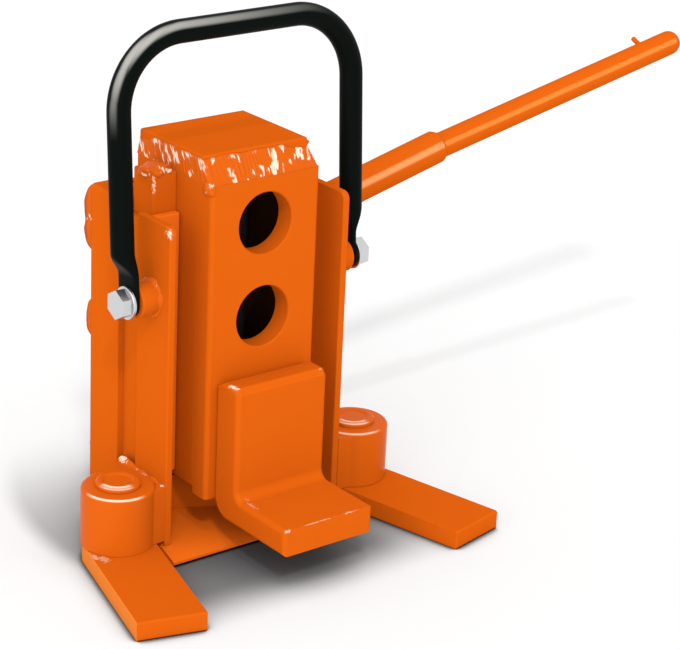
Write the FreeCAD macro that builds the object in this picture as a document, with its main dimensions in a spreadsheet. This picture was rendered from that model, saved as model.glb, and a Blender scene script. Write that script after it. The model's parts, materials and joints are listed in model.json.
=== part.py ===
import FreeCAD, Part
import math
import os
import Sketcher
from FreeCAD import Placement, Rotation, Vector

# Hydraulic toe jack: a lifting box with a hook-on toe runs up a welded frame,
# pushed by a ram that a lever pump behind the frame feeds. Millimetres, +Z up,
# -Y is the toe side. The origin is on the ground under the axis of the ram.

doc = FreeCAD.newDocument("ToeJack")
sheet = doc.addObject("Spreadsheet::Sheet", "Sizes")

drivingSizes = [
    # lifting box
    ("front_to_ram", 76, "front face of the box to the ram axis"),
    ("box_width", 118, "outside width of the lifting box"),
    ("box_depth", 118, "outside depth of the lifting box"),
    ("front_wall", 20, "thick front plate that carries the toe"),
    ("side_wall", 8, "sides and back of the box"),
    ("box_bottom", 50, "lowest edge of the box above the ground"),
    ("box_height", 299, "height of the box"),
    ("box_corner", 3, "rounding of the long corners of the box"),
    ("hole_diameter", 57.6, "round holes for the toe"),
    ("hole_pitch", 88, "distance between the holes"),
    ("hole_lowest", 130, "lowest hole above the ground"),
    ("wing_reach", 25, "wings beyond the side of the box"),
    ("wing_depth", 31.7, "wings from front to back"),
    ("wing_front", 54, "wings behind the front face of the box"),
    ("cap_thickness", 23, "head plate"),
    ("cap_setback", 18, "head plate behind the front face"),
    ("cap_inset", 2, "head plate inside the other three faces"),
    ("bead_height", 15, "weld bead round the head plate"),
    # frame
    ("frame_half_width", 98.5, "outside of the frame from the middle"),
    ("frame_height", 317, "top of the cheeks above the ground"),
    ("cheek_thickness", 7, "front cheek plates"),
    ("cheek_depth", 51, "front cheek plates from front to back"),
    ("cheek_setback", 5, "cheeks behind the front face of the box"),
    ("cheek_corner", 15, "rounded top front corner of a cheek"),
    ("bar_bottom", 64, "lower end of the guide bars"),
    ("bar_setback", 20, "guide bars behind the front face"),
    ("guide_gap", 0.3, "running gap of the sliding faces"),
    ("post_width", 37.5, "rear posts, side to side"),
    ("post_depth", 49, "rear posts, front to back"),
    ("post_wall", 5, "wall of the rear posts"),
    ("post_corner", 6, "outer corners of the rear posts"),
    ("web_thickness", 8, "plate between the rear posts"),
    ("base_half_width", 101.5, "base plate from the middle"),
    ("base_thickness", 12, "base plate"),
    ("base_lip", 14, "base plate ahead of the box"),
    ("lip_thickness", 2.5, "nose of the bevelled front edge"),
    ("lip_raise", 2, "nose above the ground"),
    # feet
    ("pivot_side", 134, "foot pivots from the middle"),
    ("pivot_setback", 29, "foot pivots behind the front face"),
    ("foot_width", 64, "swinging foot"),
    ("foot_length", 153, "pivot to the end of the foot"),
    ("foot_thickness", 18, "swinging foot"),
    ("splay_left", 15.3, "left foot turned outwards, degrees"),
    ("splay_right", 12.7, "right foot turned outwards, degrees"),
    ("housing_diameter", 67, "pivot housings"),
    ("housing_height", 55.5, "pivot housings above the feet"),
    ("housing_gap", 0.3, "foot to housing"),
    ("saddle_height", 40, "block between housing and cheek"),
    ("saddle_length", 74, "block along the cheek"),
    ("saddle_outer", 56, "block where it meets the housing"),
    ("housing_round", 3.5, "rounded rim of a housing"),
    ("foot_pin", 30, "pivot pins"),
    ("pin_head", 41, "heads of the pivot pins"),
    ("pin_head_height", 5, "heads of the pivot pins"),
    ("pin_flange", 38, "flange of a pin, sunk in its foot"),
    ("pin_flange_height", 4, "flange of a pin, sunk in its foot"),
    ("pin_rise", 1, "flange of a pin above the ground"),
    # toe
    ("toe_width", 100, "toe from side to side"),
    ("toe_reach", 108, "tip of the toe ahead of the box"),
    ("toe_bottom", 35, "underside of the toe above the ground"),
    ("toe_thickness", 26, "lifting blade"),
    ("toe_back", 34, "upright leg of the toe, front to back"),
    ("toe_top", 168, "top of the upright leg above the ground"),
    ("toe_heel", 20, "rounding of the heel"),
    ("toe_round", 5, "rounded edges of the forging"),
    ("toe_inner", 9, "hollow corner between leg and blade"),
    ("crest_drop", 6, "slopes at the top of the leg, height"),
    ("crest_front", 5, "front slope at the top of the leg"),
    ("crest_back", 12, "rear slope at the top of the leg"),
    ("stud_diameter", 46, "stud of the toe in its hole"),
    ("stud_shank", 28, "shank of the stud inside the toe"),
    ("stud_skin", 3, "metal of the toe ahead of the shank"),
    ("hook_rise", 17, "hook above the stud, behind the front plate"),
    ("hook_thickness", 9, "hook behind the front plate"),
    # bail
    ("bail_tube", 20, "tube of the carrying bail"),
    ("bail_half_width", 127, "legs of the bail from the middle"),
    ("bail_height", 230, "bolts to the middle of the grip"),
    ("bail_bend", 47, "bend radius of the bail"),
    ("bail_lean", 5.8, "bail leaning back, degrees"),
    ("bail_flat", 6, "flattened ends of the bail"),
    ("bail_eye", 28, "width of the flattened ends"),
    ("bail_start", 44, "bolts to the start of the flattening"),
    ("bail_neck", 30, "bolts to the middle of the flattening"),
    ("bail_neck_width", 24.4, "middle of the flattening, front to back"),
    ("bail_neck_thickness", 12.8, "middle of the flattening, side to side"),
    ("bail_eye_top", 18, "bolts to the end of the flattening"),
    ("eye_tuck", 0.4, "flattened ends outside the inner line of the tube"),
    ("bolt_setback", 32.5, "bail bolts behind the front face"),
    ("bolt_height", 245, "bail bolts above the ground"),
    ("boss_diameter", 31, "bosses of the bail bolts"),
    ("bolt_diameter", 16, "bail bolts"),
    ("bolt_play", 0.6, "hole in the bail over its bolt"),
    ("bolt_flats", 24, "bail bolt heads across flats"),
    ("bolt_head", 10, "bail bolt head height"),
    ("washer_diameter", 30, "bail washers"),
    ("washer_thickness", 3, "bail washers"),
    # ram
    ("block_height", 35, "hydraulic base block"),
    ("block_half_width", 58, "base block from the middle"),
    ("block_nose", 32, "base block ahead of the ram axis"),
    ("block_shoulder", 5.5, "end of the slanted front faces"),
    ("reservoir_diameter", 58, "oil jacket round the ram"),
    ("reservoir_wall", 2.5, "oil jacket"),
    ("jacket_seat", 6, "oil jacket and cylinder sunk in the block"),
    ("cylinder_diameter", 42, "ram cylinder outside"),
    ("ram_bore", 32, "ram cylinder bore"),
    ("rod_diameter", 30, "ram rod"),
    ("piston_height", 20, "piston at the foot of the rod"),
    ("piston_rest", 2, "piston above the floor of its bore"),
    ("slide_fit", 0.05, "radial play of rod, piston and plunger"),
    ("gland_height", 16, "gland nut on top of the ram"),
    ("ram_top", 312, "top of the gland nut above the ground"),
    ("seat_diameter", 50, "cup under the head plate"),
    ("seat_thickness", 8, "cup under the head plate"),
    ("seat_floor", 2, "cup over the end of the rod"),
    # pump and lever
    ("lever_plane", 83, "lever behind the ram axis"),
    ("fulcrum_side", 20, "fulcrum left of the middle"),
    ("fulcrum_height", 194.4, "fulcrum above the ground"),
    ("fulcrum_pin", 12, "fulcrum pin"),
    ("bracket_reach", 38, "ears of the fulcrum bracket"),
    ("bracket_wall", 8, "back and outer ear of the bracket"),
    ("bracket_height", 34, "fulcrum bracket"),
    ("bracket_gap", 2, "rocker to the back of the bracket"),
    ("pin_sunk", 3, "fulcrum pin behind the rear of the frame"),
    ("pump_arm", 26, "fulcrum to pump axis, level"),
    ("lever_rise", 13.9, "lever as it rests, degrees above level"),
    ("rocker_width", 28, "rocker plates, height"),
    ("rocker_thickness", 20, "rocker, side to side"),
    ("fork_gap", 9.2, "gap between the rocker plates"),
    ("rocker_block", 24, "solid end of the rocker"),
    ("ear_gap", 0.5, "rocker to the ears of its bracket"),
    ("stub_diameter", 26.6, "stub that carries the lever"),
    ("stub_start", 70, "fulcrum to the start of the stub"),
    ("stub_length", 140, "stub"),
    ("sleeve_diameter", 33.7, "lever socket"),
    ("sleeve_wall", 3.2, "lever socket"),
    ("sleeve_length", 294.4, "lever socket"),
    ("tube_diameter", 25, "lever tube"),
    ("tube_wall", 2.5, "lever tube"),
    ("tube_droop", 2.2, "lever tube below the line of its socket, degrees"),
    ("tube_inset", 22, "half of the lever tube inside its socket"),
    ("tube_reach", 343, "lever tube outside its socket"),
    ("cross_pin", 6, "cross pin near the end of the lever"),
    ("cross_pin_reach", 8, "cross pin outside the tube"),
    ("cross_pin_end", 42, "cross pin to the end of the lever"),
    ("plunger_diameter", 16, "pump plunger"),
    ("plunger_rise", 40, "foot of the plunger above the block"),
    ("plunger_eye", 23, "pin to the top of the round plunger"),
    ("plunger_tongue", 8.2, "flat end of the plunger in the fork"),
    ("pump_barrel", 36, "pump cylinder outside"),
    ("pump_flange", 44, "flange of the pump cylinder"),
    ("pump_flange_height", 14, "flange of the pump cylinder"),
    ("pump_neck", 15, "gland at the top of the pump"),
    ("pump_floor", 12, "metal under the bore of the pump"),
    ("pump_top", 152, "top of the pump cylinder above the ground"),
    ("pump_pin", 10, "pin of the plunger"),
    ("pin_hole", 19, "wide hole of the rocker over the pin"),
    ("pin_hole_place", 29.1, "fulcrum to the wide hole, along the rocker"),
    ("rear_block_depth", 48, "base block behind the frame"),
    ("rear_block_half_width", 45, "base block behind the frame"),
    ("valve_side", 28, "release valve left of the middle"),
    ("valve_height", 30, "release valve above the ground"),
    ("knob_diameter", 24, "release valve knob"),
    ("knob_height", 14, "release valve knob"),
    ("knob_bar", 52, "cross bar of the release valve"),
    ("plug_flats", 17, "valve plugs across flats"),
    ("plug_height", 7, "valve plugs"),
    ("plug_pitch", 26, "valve plugs, side to side"),
    ("filler_flats", 19, "filler plug across flats"),
    ("filler_height", 8, "filler plug"),
    ("screw_head", 13, "block screws"),
    ("screw_sink", 9, "counterbores of the block screws"),
    ("screw_edge", 12, "block screws from the edge of the block"),
]


class Size:
    # A length that holds its number and the text that the sheet works it out by.
    def __init__(self, value, text):
        self.value = value
        self.text = text

    def __add__(self, other):
        other = asSize(other)
        return Size(self.value + other.value, f"({self.text} + {other.text})")

    def __radd__(self, other):
        return asSize(other) + self

    def __sub__(self, other):
        other = asSize(other)
        return Size(self.value - other.value, f"({self.text} - {other.text})")

    def __rsub__(self, other):
        return asSize(other) - self

    def __mul__(self, other):
        other = asSize(other)
        return Size(self.value * other.value, f"({self.text} * {other.text})")

    def __rmul__(self, other):
        return asSize(other) * self

    def __truediv__(self, other):
        other = asSize(other)
        return Size(self.value / other.value, f"({self.text} / {other.text})")

    def __neg__(self):
        return Size(-self.value, f"(-1 * {self.text})")


def asSize(value):
    if isinstance(value, Size):
        return value
    return Size(float(value), repr(float(value)))


def cosine(angle):
    return Size(math.cos(math.radians(angle.value)), f"cos({angle.text} * 1 deg)")


def sine(angle):
    return Size(math.sin(math.radians(angle.value)), f"sin({angle.text} * 1 deg)")


sizes = {}
for row, (alias, value, note) in enumerate(drivingSizes, start=1):
    sheet.set(f"A{row}", note)
    sheet.set(f"B{row}", str(value))
    sheet.setAlias(f"B{row}", alias)
    sizes[alias] = Size(float(value), f"Sizes.{alias}")
doc.recompute()

subParts = []


def bind(item, prop, size):
    item.setExpression(prop, asSize(size).text)


def place(item, x=0, y=0, z=0, axis=Vector(0, 0, 1), angle=0):
    turn = asSize(angle)
    item.Placement = Placement(Vector(asSize(x).value, asSize(y).value, asSize(z).value),
                               Rotation(axis, turn.value))
    for name, size in (("x", x), ("y", y), ("z", z)):
        if isinstance(size, Size):
            bind(item, f"Placement.Base.{name}", size)
    if isinstance(angle, Size):
        bind(item, "Placement.Rotation.Angle", turn)


def newBody(label, piece=True):
    body = doc.addObject("PartDesign::Body", label)
    body.Label = label
    if piece:
        subParts.append(body)
    return body


def sketchOn(body, plane, level=0):
    # level is where the sketch lies along the world axis that the plane faces
    sketch = body.newObject("Sketcher::SketchObject", "Sketch")
    origin = [item for item in body.Origin.OriginFeatures if item.Role == plane + "_Plane"][0]
    sketch.AttachmentSupport = [(origin, "")]
    sketch.MapMode = "FlatFace"
    offset = -asSize(level) if plane == "XZ" else asSize(level)
    sketch.AttachmentOffset = Placement(Vector(0, 0, offset.value), Rotation())
    bind(sketch, "AttachmentOffset.Base.z", offset)
    return sketch


def fix(sketch, name, kind, geometry, point, size):
    index = sketch.addConstraint(Sketcher.Constraint(kind, -1, 1, geometry, point, size.value))
    sketch.renameConstraint(index, name)
    bind(sketch, "Constraints." + name, size)


def polygon(sketch, points):
    points = [(asSize(x), asSize(y)) for x, y in points]
    first = sketch.GeometryCount
    count = len(points)
    for index in range(count):
        start, end = points[index], points[(index + 1) % count]
        sketch.addGeometry(Part.LineSegment(Vector(start[0].value, start[1].value, 0),
                                            Vector(end[0].value, end[1].value, 0)), False)
    for index in range(count):
        follower = first + (index + 1) % count
        sketch.addConstraint(Sketcher.Constraint("Coincident", first + index, 2, follower, 1))
    for index, (x, y) in enumerate(points, start=first):
        fix(sketch, f"across{index}", "DistanceX", index, 1, x)
        fix(sketch, f"up{index}", "DistanceY", index, 1, y)


def rectangle(sketch, left, bottom, right, top):
    polygon(sketch, [(left, bottom), (right, bottom), (right, top), (left, top)])


def circle(sketch, x, y, diameter):
    x, y, diameter = asSize(x), asSize(y), asSize(diameter)
    centre = Vector(x.value, y.value, 0)
    index = sketch.addGeometry(Part.Circle(centre, Vector(0, 0, 1), diameter.value / 2), False)
    fix(sketch, f"across{index}", "DistanceX", index, 3, x)
    fix(sketch, f"up{index}", "DistanceY", index, 3, y)
    name = f"round{index}"
    sketch.renameConstraint(sketch.addConstraint(
        Sketcher.Constraint("Diameter", index, diameter.value)), name)
    bind(sketch, "Constraints." + name, diameter)


def hexagon(sketch, x, y, flats):
    reach = asSize(flats) / math.sqrt(3)
    polygon(sketch, [(x + reach * math.cos(math.radians(60 * k)),
                      y + reach * math.sin(math.radians(60 * k))) for k in range(6)])


def upright(sketch, x, low, high, width):
    # a slot with round ends, from the centre at low to the centre at high
    x, low, high, radius = asSize(x), asSize(low), asSize(high), asSize(width) / 2
    first = sketch.GeometryCount
    axis = Vector(0, 0, 1)
    top = Part.ArcOfCircle(Part.Circle(Vector(x.value, high.value, 0), axis, radius.value), 0, math.pi)
    bottom = Part.ArcOfCircle(Part.Circle(Vector(x.value, low.value, 0), axis, radius.value),
                              math.pi, 2 * math.pi)
    left = Part.LineSegment(Vector(x.value - radius.value, high.value, 0),
                            Vector(x.value - radius.value, low.value, 0))
    right = Part.LineSegment(Vector(x.value + radius.value, low.value, 0),
                             Vector(x.value + radius.value, high.value, 0))
    for piece in (top, left, bottom, right):
        sketch.addGeometry(piece, False)
    for one, two in ((0, 1), (1, 2), (2, 3), (3, 0)):
        sketch.addConstraint(Sketcher.Constraint("Tangent", first + one, 2, first + two, 1))
    for index, centre in ((first, high), (first + 2, low)):
        fix(sketch, f"across{index}", "DistanceX", index, 3, x)
        fix(sketch, f"up{index}", "DistanceY", index, 3, centre)
    name = f"round{first}"
    sketch.renameConstraint(sketch.addConstraint(
        Sketcher.Constraint("Radius", first, radius.value)), name)
    bind(sketch, "Constraints." + name, radius)


def planeOf(sketch):
    return sketch.AttachmentSupport[0][0].Role[:2]


def pad(body, sketch, length, towards=1):
    # towards is the sense along the world axis that the sketch plane faces
    feature = body.newObject("PartDesign::Pad", "Pad")
    feature.Profile = sketch
    bind(feature, "Length", length)
    feature.Reversed = (towards > 0) if planeOf(sketch) == "XZ" else (towards < 0)
    return feature


def pocket(body, sketch, length, towards=1):
    before = shapeOf(body).Volume
    feature = body.newObject("PartDesign::Pocket", "Pocket")
    feature.Profile = sketch
    bind(feature, "Length", length)
    feature.Reversed = (towards < 0) if planeOf(sketch) == "XZ" else (towards > 0)
    if shapeOf(body).Volume >= before:
        raise RuntimeError(f"{body.Label}: the pocket cuts nothing")
    return feature


def shapeOf(body):
    doc.recompute()
    return body.Shape


def revolve(body, points):
    # the profile is pairs of radius and height, turned about the body's own Z
    sketch = sketchOn(body, "XZ")
    polygon(sketch, points)
    feature = body.newObject("PartDesign::Revolution", "Revolution")
    feature.Profile = sketch
    feature.ReferenceAxis = (sketch, ["V_Axis"])
    feature.Angle = 360
    return feature


def soften(body, kind, size, test):
    # a fillet or chamfer on each edge whose middle and direction pass the test
    shape = shapeOf(body)
    names = []
    for index, edge in enumerate(shape.Edges, start=1):
        middle = edge.valueAt((edge.FirstParameter + edge.LastParameter) / 2)
        run = edge.Vertexes[-1].Point - edge.Vertexes[0].Point
        if run.Length > 1e-6:
            run.normalize()
        if test(middle, run):
            names.append(f"Edge{index}")
    if not names:
        raise RuntimeError(f"{body.Label}: no edge to soften")
    base = body.Tip
    feature = body.newObject(f"PartDesign::{kind}", kind)
    feature.Base = (base, names)
    bind(feature, "Radius" if kind == "Fillet" else "Size", size)
    return feature


def alongZ(run):
    return abs(run.z) > 0.999


def near(one, two):
    return abs(one - asSize(two).value) < 0.01


def turned(label, points, piece=True):
    body = newBody(label, piece)
    revolve(body, points)
    return body


def group(label, pieces):
    bundle = doc.addObject("Part::Compound", label)
    bundle.Label = label
    bundle.Links = pieces
    subParts.append(bundle)
    return bundle


s = sizes
boxFront = -s["front_to_ram"]
boxBack = boxFront + s["box_depth"]
boxHalf = s["box_width"] / 2
boxTop = s["box_bottom"] + s["box_height"]
wingFront = boxFront + s["wing_front"]
wingBack = wingFront + s["wing_depth"]
wingOuter = boxHalf + s["wing_reach"]
frameHalf = s["frame_half_width"]
cheekFront = boxFront + s["cheek_setback"]
cheekBack = cheekFront + s["cheek_depth"]
cheekInner = frameHalf - s["cheek_thickness"]
barBack = wingFront - s["guide_gap"]
linerInner = wingOuter + s["guide_gap"]
postFront = wingBack + s["guide_gap"]
postBack = postFront + s["post_depth"]
postInner = frameHalf - s["post_width"]
baseTop = s["base_thickness"]
blockTop = baseTop + s["block_height"]
pivotY = boxFront + s["pivot_setback"]
boltY = boxFront + s["bolt_setback"]
pumpX = s["pump_arm"] - s["fulcrum_side"]
rearBlockBack = postBack + s["rear_block_depth"]
eyeInner = s["bail_half_width"] - s["bail_tube"] / 2 + s["eye_tuck"]
bossLength = eyeInner - s["guide_gap"] - frameHalf
capFront = boxFront + s["cap_setback"]
capBack = boxBack - s["cap_inset"]
studHeight = s["hole_lowest"] - (s["hole_diameter"] - s["stud_diameter"]) / 2 + s["guide_gap"]
rockerSide = s["rocker_thickness"] / 2 + s["ear_gap"]
pinHeight = s["fulcrum_height"] + s["pump_arm"] * sine(s["lever_rise"]) / cosine(s["lever_rise"])
sleeveStart = s["stub_start"] + s["guide_gap"]
tubeRise = s["lever_rise"] - s["tube_droop"]


# Frame: base plate with a bevelled nose, cheeks, guide bars, liners and posts.
def makeBase():
    body = newBody("base_plate")
    sketch = sketchOn(body, "YZ", -s["base_half_width"])
    nose = boxFront - s["base_lip"]
    polygon(sketch, [(rearBlockBack, 0), (rearBlockBack, baseTop), (cheekFront, baseTop),
                     (nose, s["lip_raise"] + s["lip_thickness"]), (nose, s["lip_raise"]),
                     (boxFront, 0)])
    pad(body, sketch, s["base_half_width"] * 2)
    rearEdge = rearBlockBack.value
    soften(body, "Fillet", 10, lambda p, run: alongZ(run) and near(p.y, rearEdge))


def makeCheek(name, side):
    body = newBody("cheek_" + name)
    sketch = sketchOn(body, "YZ", side * (frameHalf - s["cheek_thickness"] / 2))
    rectangle(sketch, cheekFront, baseTop, cheekBack, s["frame_height"])
    feature = pad(body, sketch, s["cheek_thickness"])
    feature.Midplane = True
    front, top = cheekFront.value, s["frame_height"].value
    soften(body, "Fillet", s["cheek_corner"],
           lambda p, run: abs(run.x) > 0.9 and near(p.y, front) and near(p.z, top))


def makeGuideBar(name, side):
    # carries the pull of the toe: the wing of the box bears on its back
    body = newBody("guide_bar_" + name)
    sketch = sketchOn(body, "XY", s["bar_bottom"])
    inner, outer = side * (boxHalf + 1), side * cheekInner
    rectangle(sketch, inner, boxFront + s["bar_setback"], outer, barBack)
    pad(body, sketch, s["frame_height"] - s["bar_bottom"] - 4)
    inside, front = inner.value, boxFront + s["bar_setback"]
    soften(body, "Chamfer", 2, lambda p, run: alongZ(run) and near(p.x, inside) and near(p.y, front))


def makeLiner(name, side):
    # floor of the groove between cheek and post
    body = newBody("liner_" + name)
    sketch = sketchOn(body, "XY", baseTop)
    rectangle(sketch, side * linerInner, barBack, side * cheekInner, postFront)
    pad(body, sketch, s["frame_height"] - baseTop - 10)


def makePost(name, side):
    body = newBody("post_" + name)
    sketch = sketchOn(body, "XY", baseTop)
    rectangle(sketch, side * postInner, postFront, side * frameHalf, postBack)
    pad(body, sketch, s["frame_height"] - baseTop)
    outside = (side * frameHalf).value
    back = postBack.value
    soften(body, "Fillet", s["post_corner"],
           lambda p, run: alongZ(run) and near(p.x, outside) and near(p.y, back))
    hollow = sketchOn(body, "XY", baseTop)
    wall = s["post_wall"]
    rectangle(hollow, side * (postInner + wall), postFront + wall,
              side * (frameHalf - wall), postBack - wall)
    pocket(body, hollow, s["frame_height"] - baseTop - wall)
    topEdge = s["frame_height"].value
    soften(body, "Chamfer", 2, lambda p, run: near(p.z, topEdge))


def makeWeb():
    body = newBody("rear_web")
    sketch = sketchOn(body, "XZ", postBack)
    rectangle(sketch, -postInner, blockTop, postInner, s["frame_height"] - 3)
    pad(body, sketch, s["web_thickness"], -1)


def makeBoss(name, side):
    body = turned("bail_boss_" + name, [
        (s["bolt_diameter"] / 2, 0), (s["boss_diameter"] / 2, 0),
        (s["boss_diameter"] / 2, bossLength - 1), (s["boss_diameter"] / 2 - 1, bossLength),
        (s["bolt_diameter"] / 2, bossLength)])
    place(body, side * frameHalf, boltY, s["bolt_height"], Vector(0, 1, 0), side * 90)


# Feet: flat bars that swing about upright pins under the housings.
def makeHousing(name, side):
    body = newBody("pivot_housing_" + name)
    floor = s["foot_thickness"] + s["housing_gap"]
    sketch = sketchOn(body, "XY", floor)
    circle(sketch, side * s["pivot_side"], pivotY, s["housing_diameter"])
    pad(body, sketch, s["housing_height"])
    saddle = sketchOn(body, "XY", floor)
    half = s["saddle_outer"] / 2
    flank = side * s["pivot_side"]
    polygon(saddle, [(side * frameHalf, cheekFront), (flank, pivotY - half), (flank, pivotY + half),
                     (side * frameHalf, cheekFront + s["saddle_length"])])
    pad(body, saddle, s["saddle_height"])
    rim = (floor + s["housing_height"]).value
    soften(body, "Fillet", s["housing_round"], lambda p, run: near(p.z, rim))
    bore = sketchOn(body, "XY", floor)
    circle(bore, flank, pivotY, s["foot_pin"])
    pocket(body, bore, s["housing_height"])


def makeFootPin(name, side):
    radius, flange, head = s["foot_pin"] / 2, s["pin_flange"] / 2, s["pin_head"] / 2
    foot = s["pin_rise"]
    shoulder = foot + s["pin_flange_height"]
    rim = s["foot_thickness"] + s["housing_gap"] + s["housing_height"]
    top = rim + s["pin_head_height"]
    bevel, dish, dishDepth = 2, 8, 1.5
    body = turned("foot_pin_" + name, [
        (0, foot), (flange, foot), (flange, shoulder), (radius, shoulder), (radius, rim),
        (head, rim), (head, top - bevel), (head - bevel, top), (head - dish + bevel, top),
        (head - dish, top - dishDepth), (0, top - dishDepth)])
    place(body, side * s["pivot_side"], pivotY, 0)


def makeFoot(name, side, splay):
    # drawn straight ahead of its pivot, then turned outwards
    body = newBody("foot_" + name)
    sketch = sketchOn(body, "XY")
    half = s["foot_width"] / 2
    rectangle(sketch, -half, -s["foot_length"], half, 0)
    pad(body, sketch, s["foot_thickness"])
    eye = sketchOn(body, "XY")
    circle(eye, 0, 0, s["foot_width"])
    pad(body, eye, s["foot_thickness"])
    tip = -s["foot_length"].value
    soften(body, "Chamfer", 1.2, lambda p, run: near(p.y, tip) and not alongZ(run))
    bore = sketchOn(body, "XY")
    circle(bore, 0, 0, s["foot_pin"] + s["slide_fit"] * 2)
    pocket(body, bore, s["foot_thickness"])
    sink = sketchOn(body, "XY")
    circle(sink, 0, 0, s["pin_flange"] + 1)
    pocket(body, sink, s["pin_rise"] + s["pin_flange_height"] + s["housing_gap"])
    place(body, side * s["pivot_side"], pivotY, 0, Vector(0, 0, 1), side * splay)


# Lifting box: front plate with three holes, channel, wings, head plate.
def makeFrontPlate():
    body = newBody("box_front")
    sketch = sketchOn(body, "XZ", boxFront)
    rectangle(sketch, -boxHalf, s["box_bottom"], boxHalf, boxTop)
    for index in range(3):
        circle(sketch, 0, s["hole_lowest"] + s["hole_pitch"] * index, s["hole_diameter"])
    pad(body, sketch, s["front_wall"])
    face = boxFront.value
    soften(body, "Fillet", s["box_corner"], lambda p, run: alongZ(run) and near(p.y, face))
    top, low = boxTop.value, s["box_bottom"].value
    inset = s["box_corner"].value + 2
    outside = boxHalf.value - inset

    def holeRim(p, run):
        return near(p.y, face) and low + inset < p.z < top - inset and abs(p.x) < outside
    soften(body, "Chamfer", 1, holeRim)


def makeChannel():
    body = newBody("box_channel")
    sketch = sketchOn(body, "XY", s["box_bottom"])
    front = boxFront + s["front_wall"]
    wall = s["side_wall"]
    polygon(sketch, [(-boxHalf, front), (-boxHalf, boxBack), (boxHalf, boxBack), (boxHalf, front),
                     (boxHalf - wall, front), (boxHalf - wall, boxBack - wall),
                     (wall - boxHalf, boxBack - wall), (wall - boxHalf, front)])
    pad(body, sketch, s["box_height"])
    back, outside = boxBack.value, boxHalf.value
    soften(body, "Fillet", s["box_corner"],
           lambda p, run: alongZ(run) and near(p.y, back) and near(abs(p.x), outside))


def makeWing(name, side):
    body = newBody("wing_" + name)
    sketch = sketchOn(body, "XY", s["box_bottom"])
    rectangle(sketch, side * boxHalf, wingFront, side * wingOuter, wingBack)
    pad(body, sketch, s["box_height"])
    outside = (side * wingOuter).value
    soften(body, "Chamfer", 1.5, lambda p, run: alongZ(run) and near(p.x, outside))


def makeHead():
    body = newBody("head_plate")
    sketch = sketchOn(body, "XY", boxTop)
    rectangle(sketch, s["cap_inset"] - boxHalf, capFront, boxHalf - s["cap_inset"], capBack)
    pad(body, sketch, s["cap_thickness"])
    top = (boxTop + s["cap_thickness"]).value
    soften(body, "Chamfer", 1.2, lambda p, run: near(p.z, top))


def makeHeadBead():
    # weld run from the top edge of the box up the sides of the head plate
    body = newBody("head_bead")
    sections = []
    for rise, share in ((0, 0.0), (0.4, 0.62), (1, 0.97)):
        sketch = sketchOn(body, "XY", boxTop + s["bead_height"] * rise)
        half = boxHalf - s["cap_inset"] * share
        rectangle(sketch, -half, boxFront + s["cap_setback"] * share, half,
                  boxBack - s["cap_inset"] * share)
        sections.append(sketch)
    loft = body.newObject("PartDesign::AdditiveLoft", "Loft")
    loft.Profile = sections[0]
    loft.Sections = sections[1:]
    loft.Ruled = True
    core = sketchOn(body, "XY", boxTop)
    rectangle(core, s["cap_inset"] - boxHalf, capFront, boxHalf - s["cap_inset"], capBack)
    pocket(body, core, s["bead_height"] + 1)


# Toe: an L-shaped forging that hangs in the lowest hole by a hooked stud.
def makeToe():
    body = newBody("toe_claw")
    back = boxFront - s["guide_gap"]
    leg = back - s["toe_back"]
    tip = boxFront - s["toe_reach"]
    blade = s["toe_bottom"] + s["toe_thickness"]
    top = s["toe_top"]
    sketch = sketchOn(body, "YZ", -s["toe_width"] / 2)
    polygon(sketch, [(back, s["toe_bottom"]), (tip, s["toe_bottom"]), (tip, blade), (leg, blade),
                     (leg, top - s["crest_drop"]), (leg + s["crest_front"], top),
                     (back - s["crest_back"], top), (back, top - s["crest_drop"])])
    pad(body, sketch, s["toe_width"])
    backPlace, legPlace = back.value, leg.value
    low, bladeTop = s["toe_bottom"].value, blade.value
    soften(body, "Fillet", s["toe_heel"],
           lambda p, run: abs(run.x) > 0.9 and near(p.y, backPlace) and near(p.z, low))
    soften(body, "Fillet", s["toe_inner"],
           lambda p, run: abs(run.x) > 0.9 and near(p.y, legPlace) and near(p.z, bladeTop))
    half = (s["toe_width"] / 2).value
    soften(body, "Fillet", s["toe_round"],
           lambda p, run: near(abs(p.x), half) and p.y < backPlace - 0.01)
    bore = sketchOn(body, "XZ", back)
    circle(bore, 0, studHeight, s["stud_shank"])
    pocket(body, bore, s["toe_back"] - s["stud_skin"], -1)


def makeToeStud():
    body = newBody("toe_stud")
    back = boxFront - s["guide_gap"]
    shank = sketchOn(body, "XZ", back - s["toe_back"] + s["stud_skin"])
    circle(shank, 0, studHeight, s["stud_shank"])
    pad(body, shank, s["toe_back"] - s["stud_skin"])
    neck = sketchOn(body, "XZ", back)
    circle(neck, 0, studHeight, s["stud_diameter"])
    pad(body, neck, s["front_wall"] + s["guide_gap"] * 2)
    hook = sketchOn(body, "XZ", boxFront + s["front_wall"] + s["guide_gap"])
    upright(hook, 0, studHeight, studHeight + s["hook_rise"], s["stud_diameter"])
    pad(body, hook, s["hook_thickness"])


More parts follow.
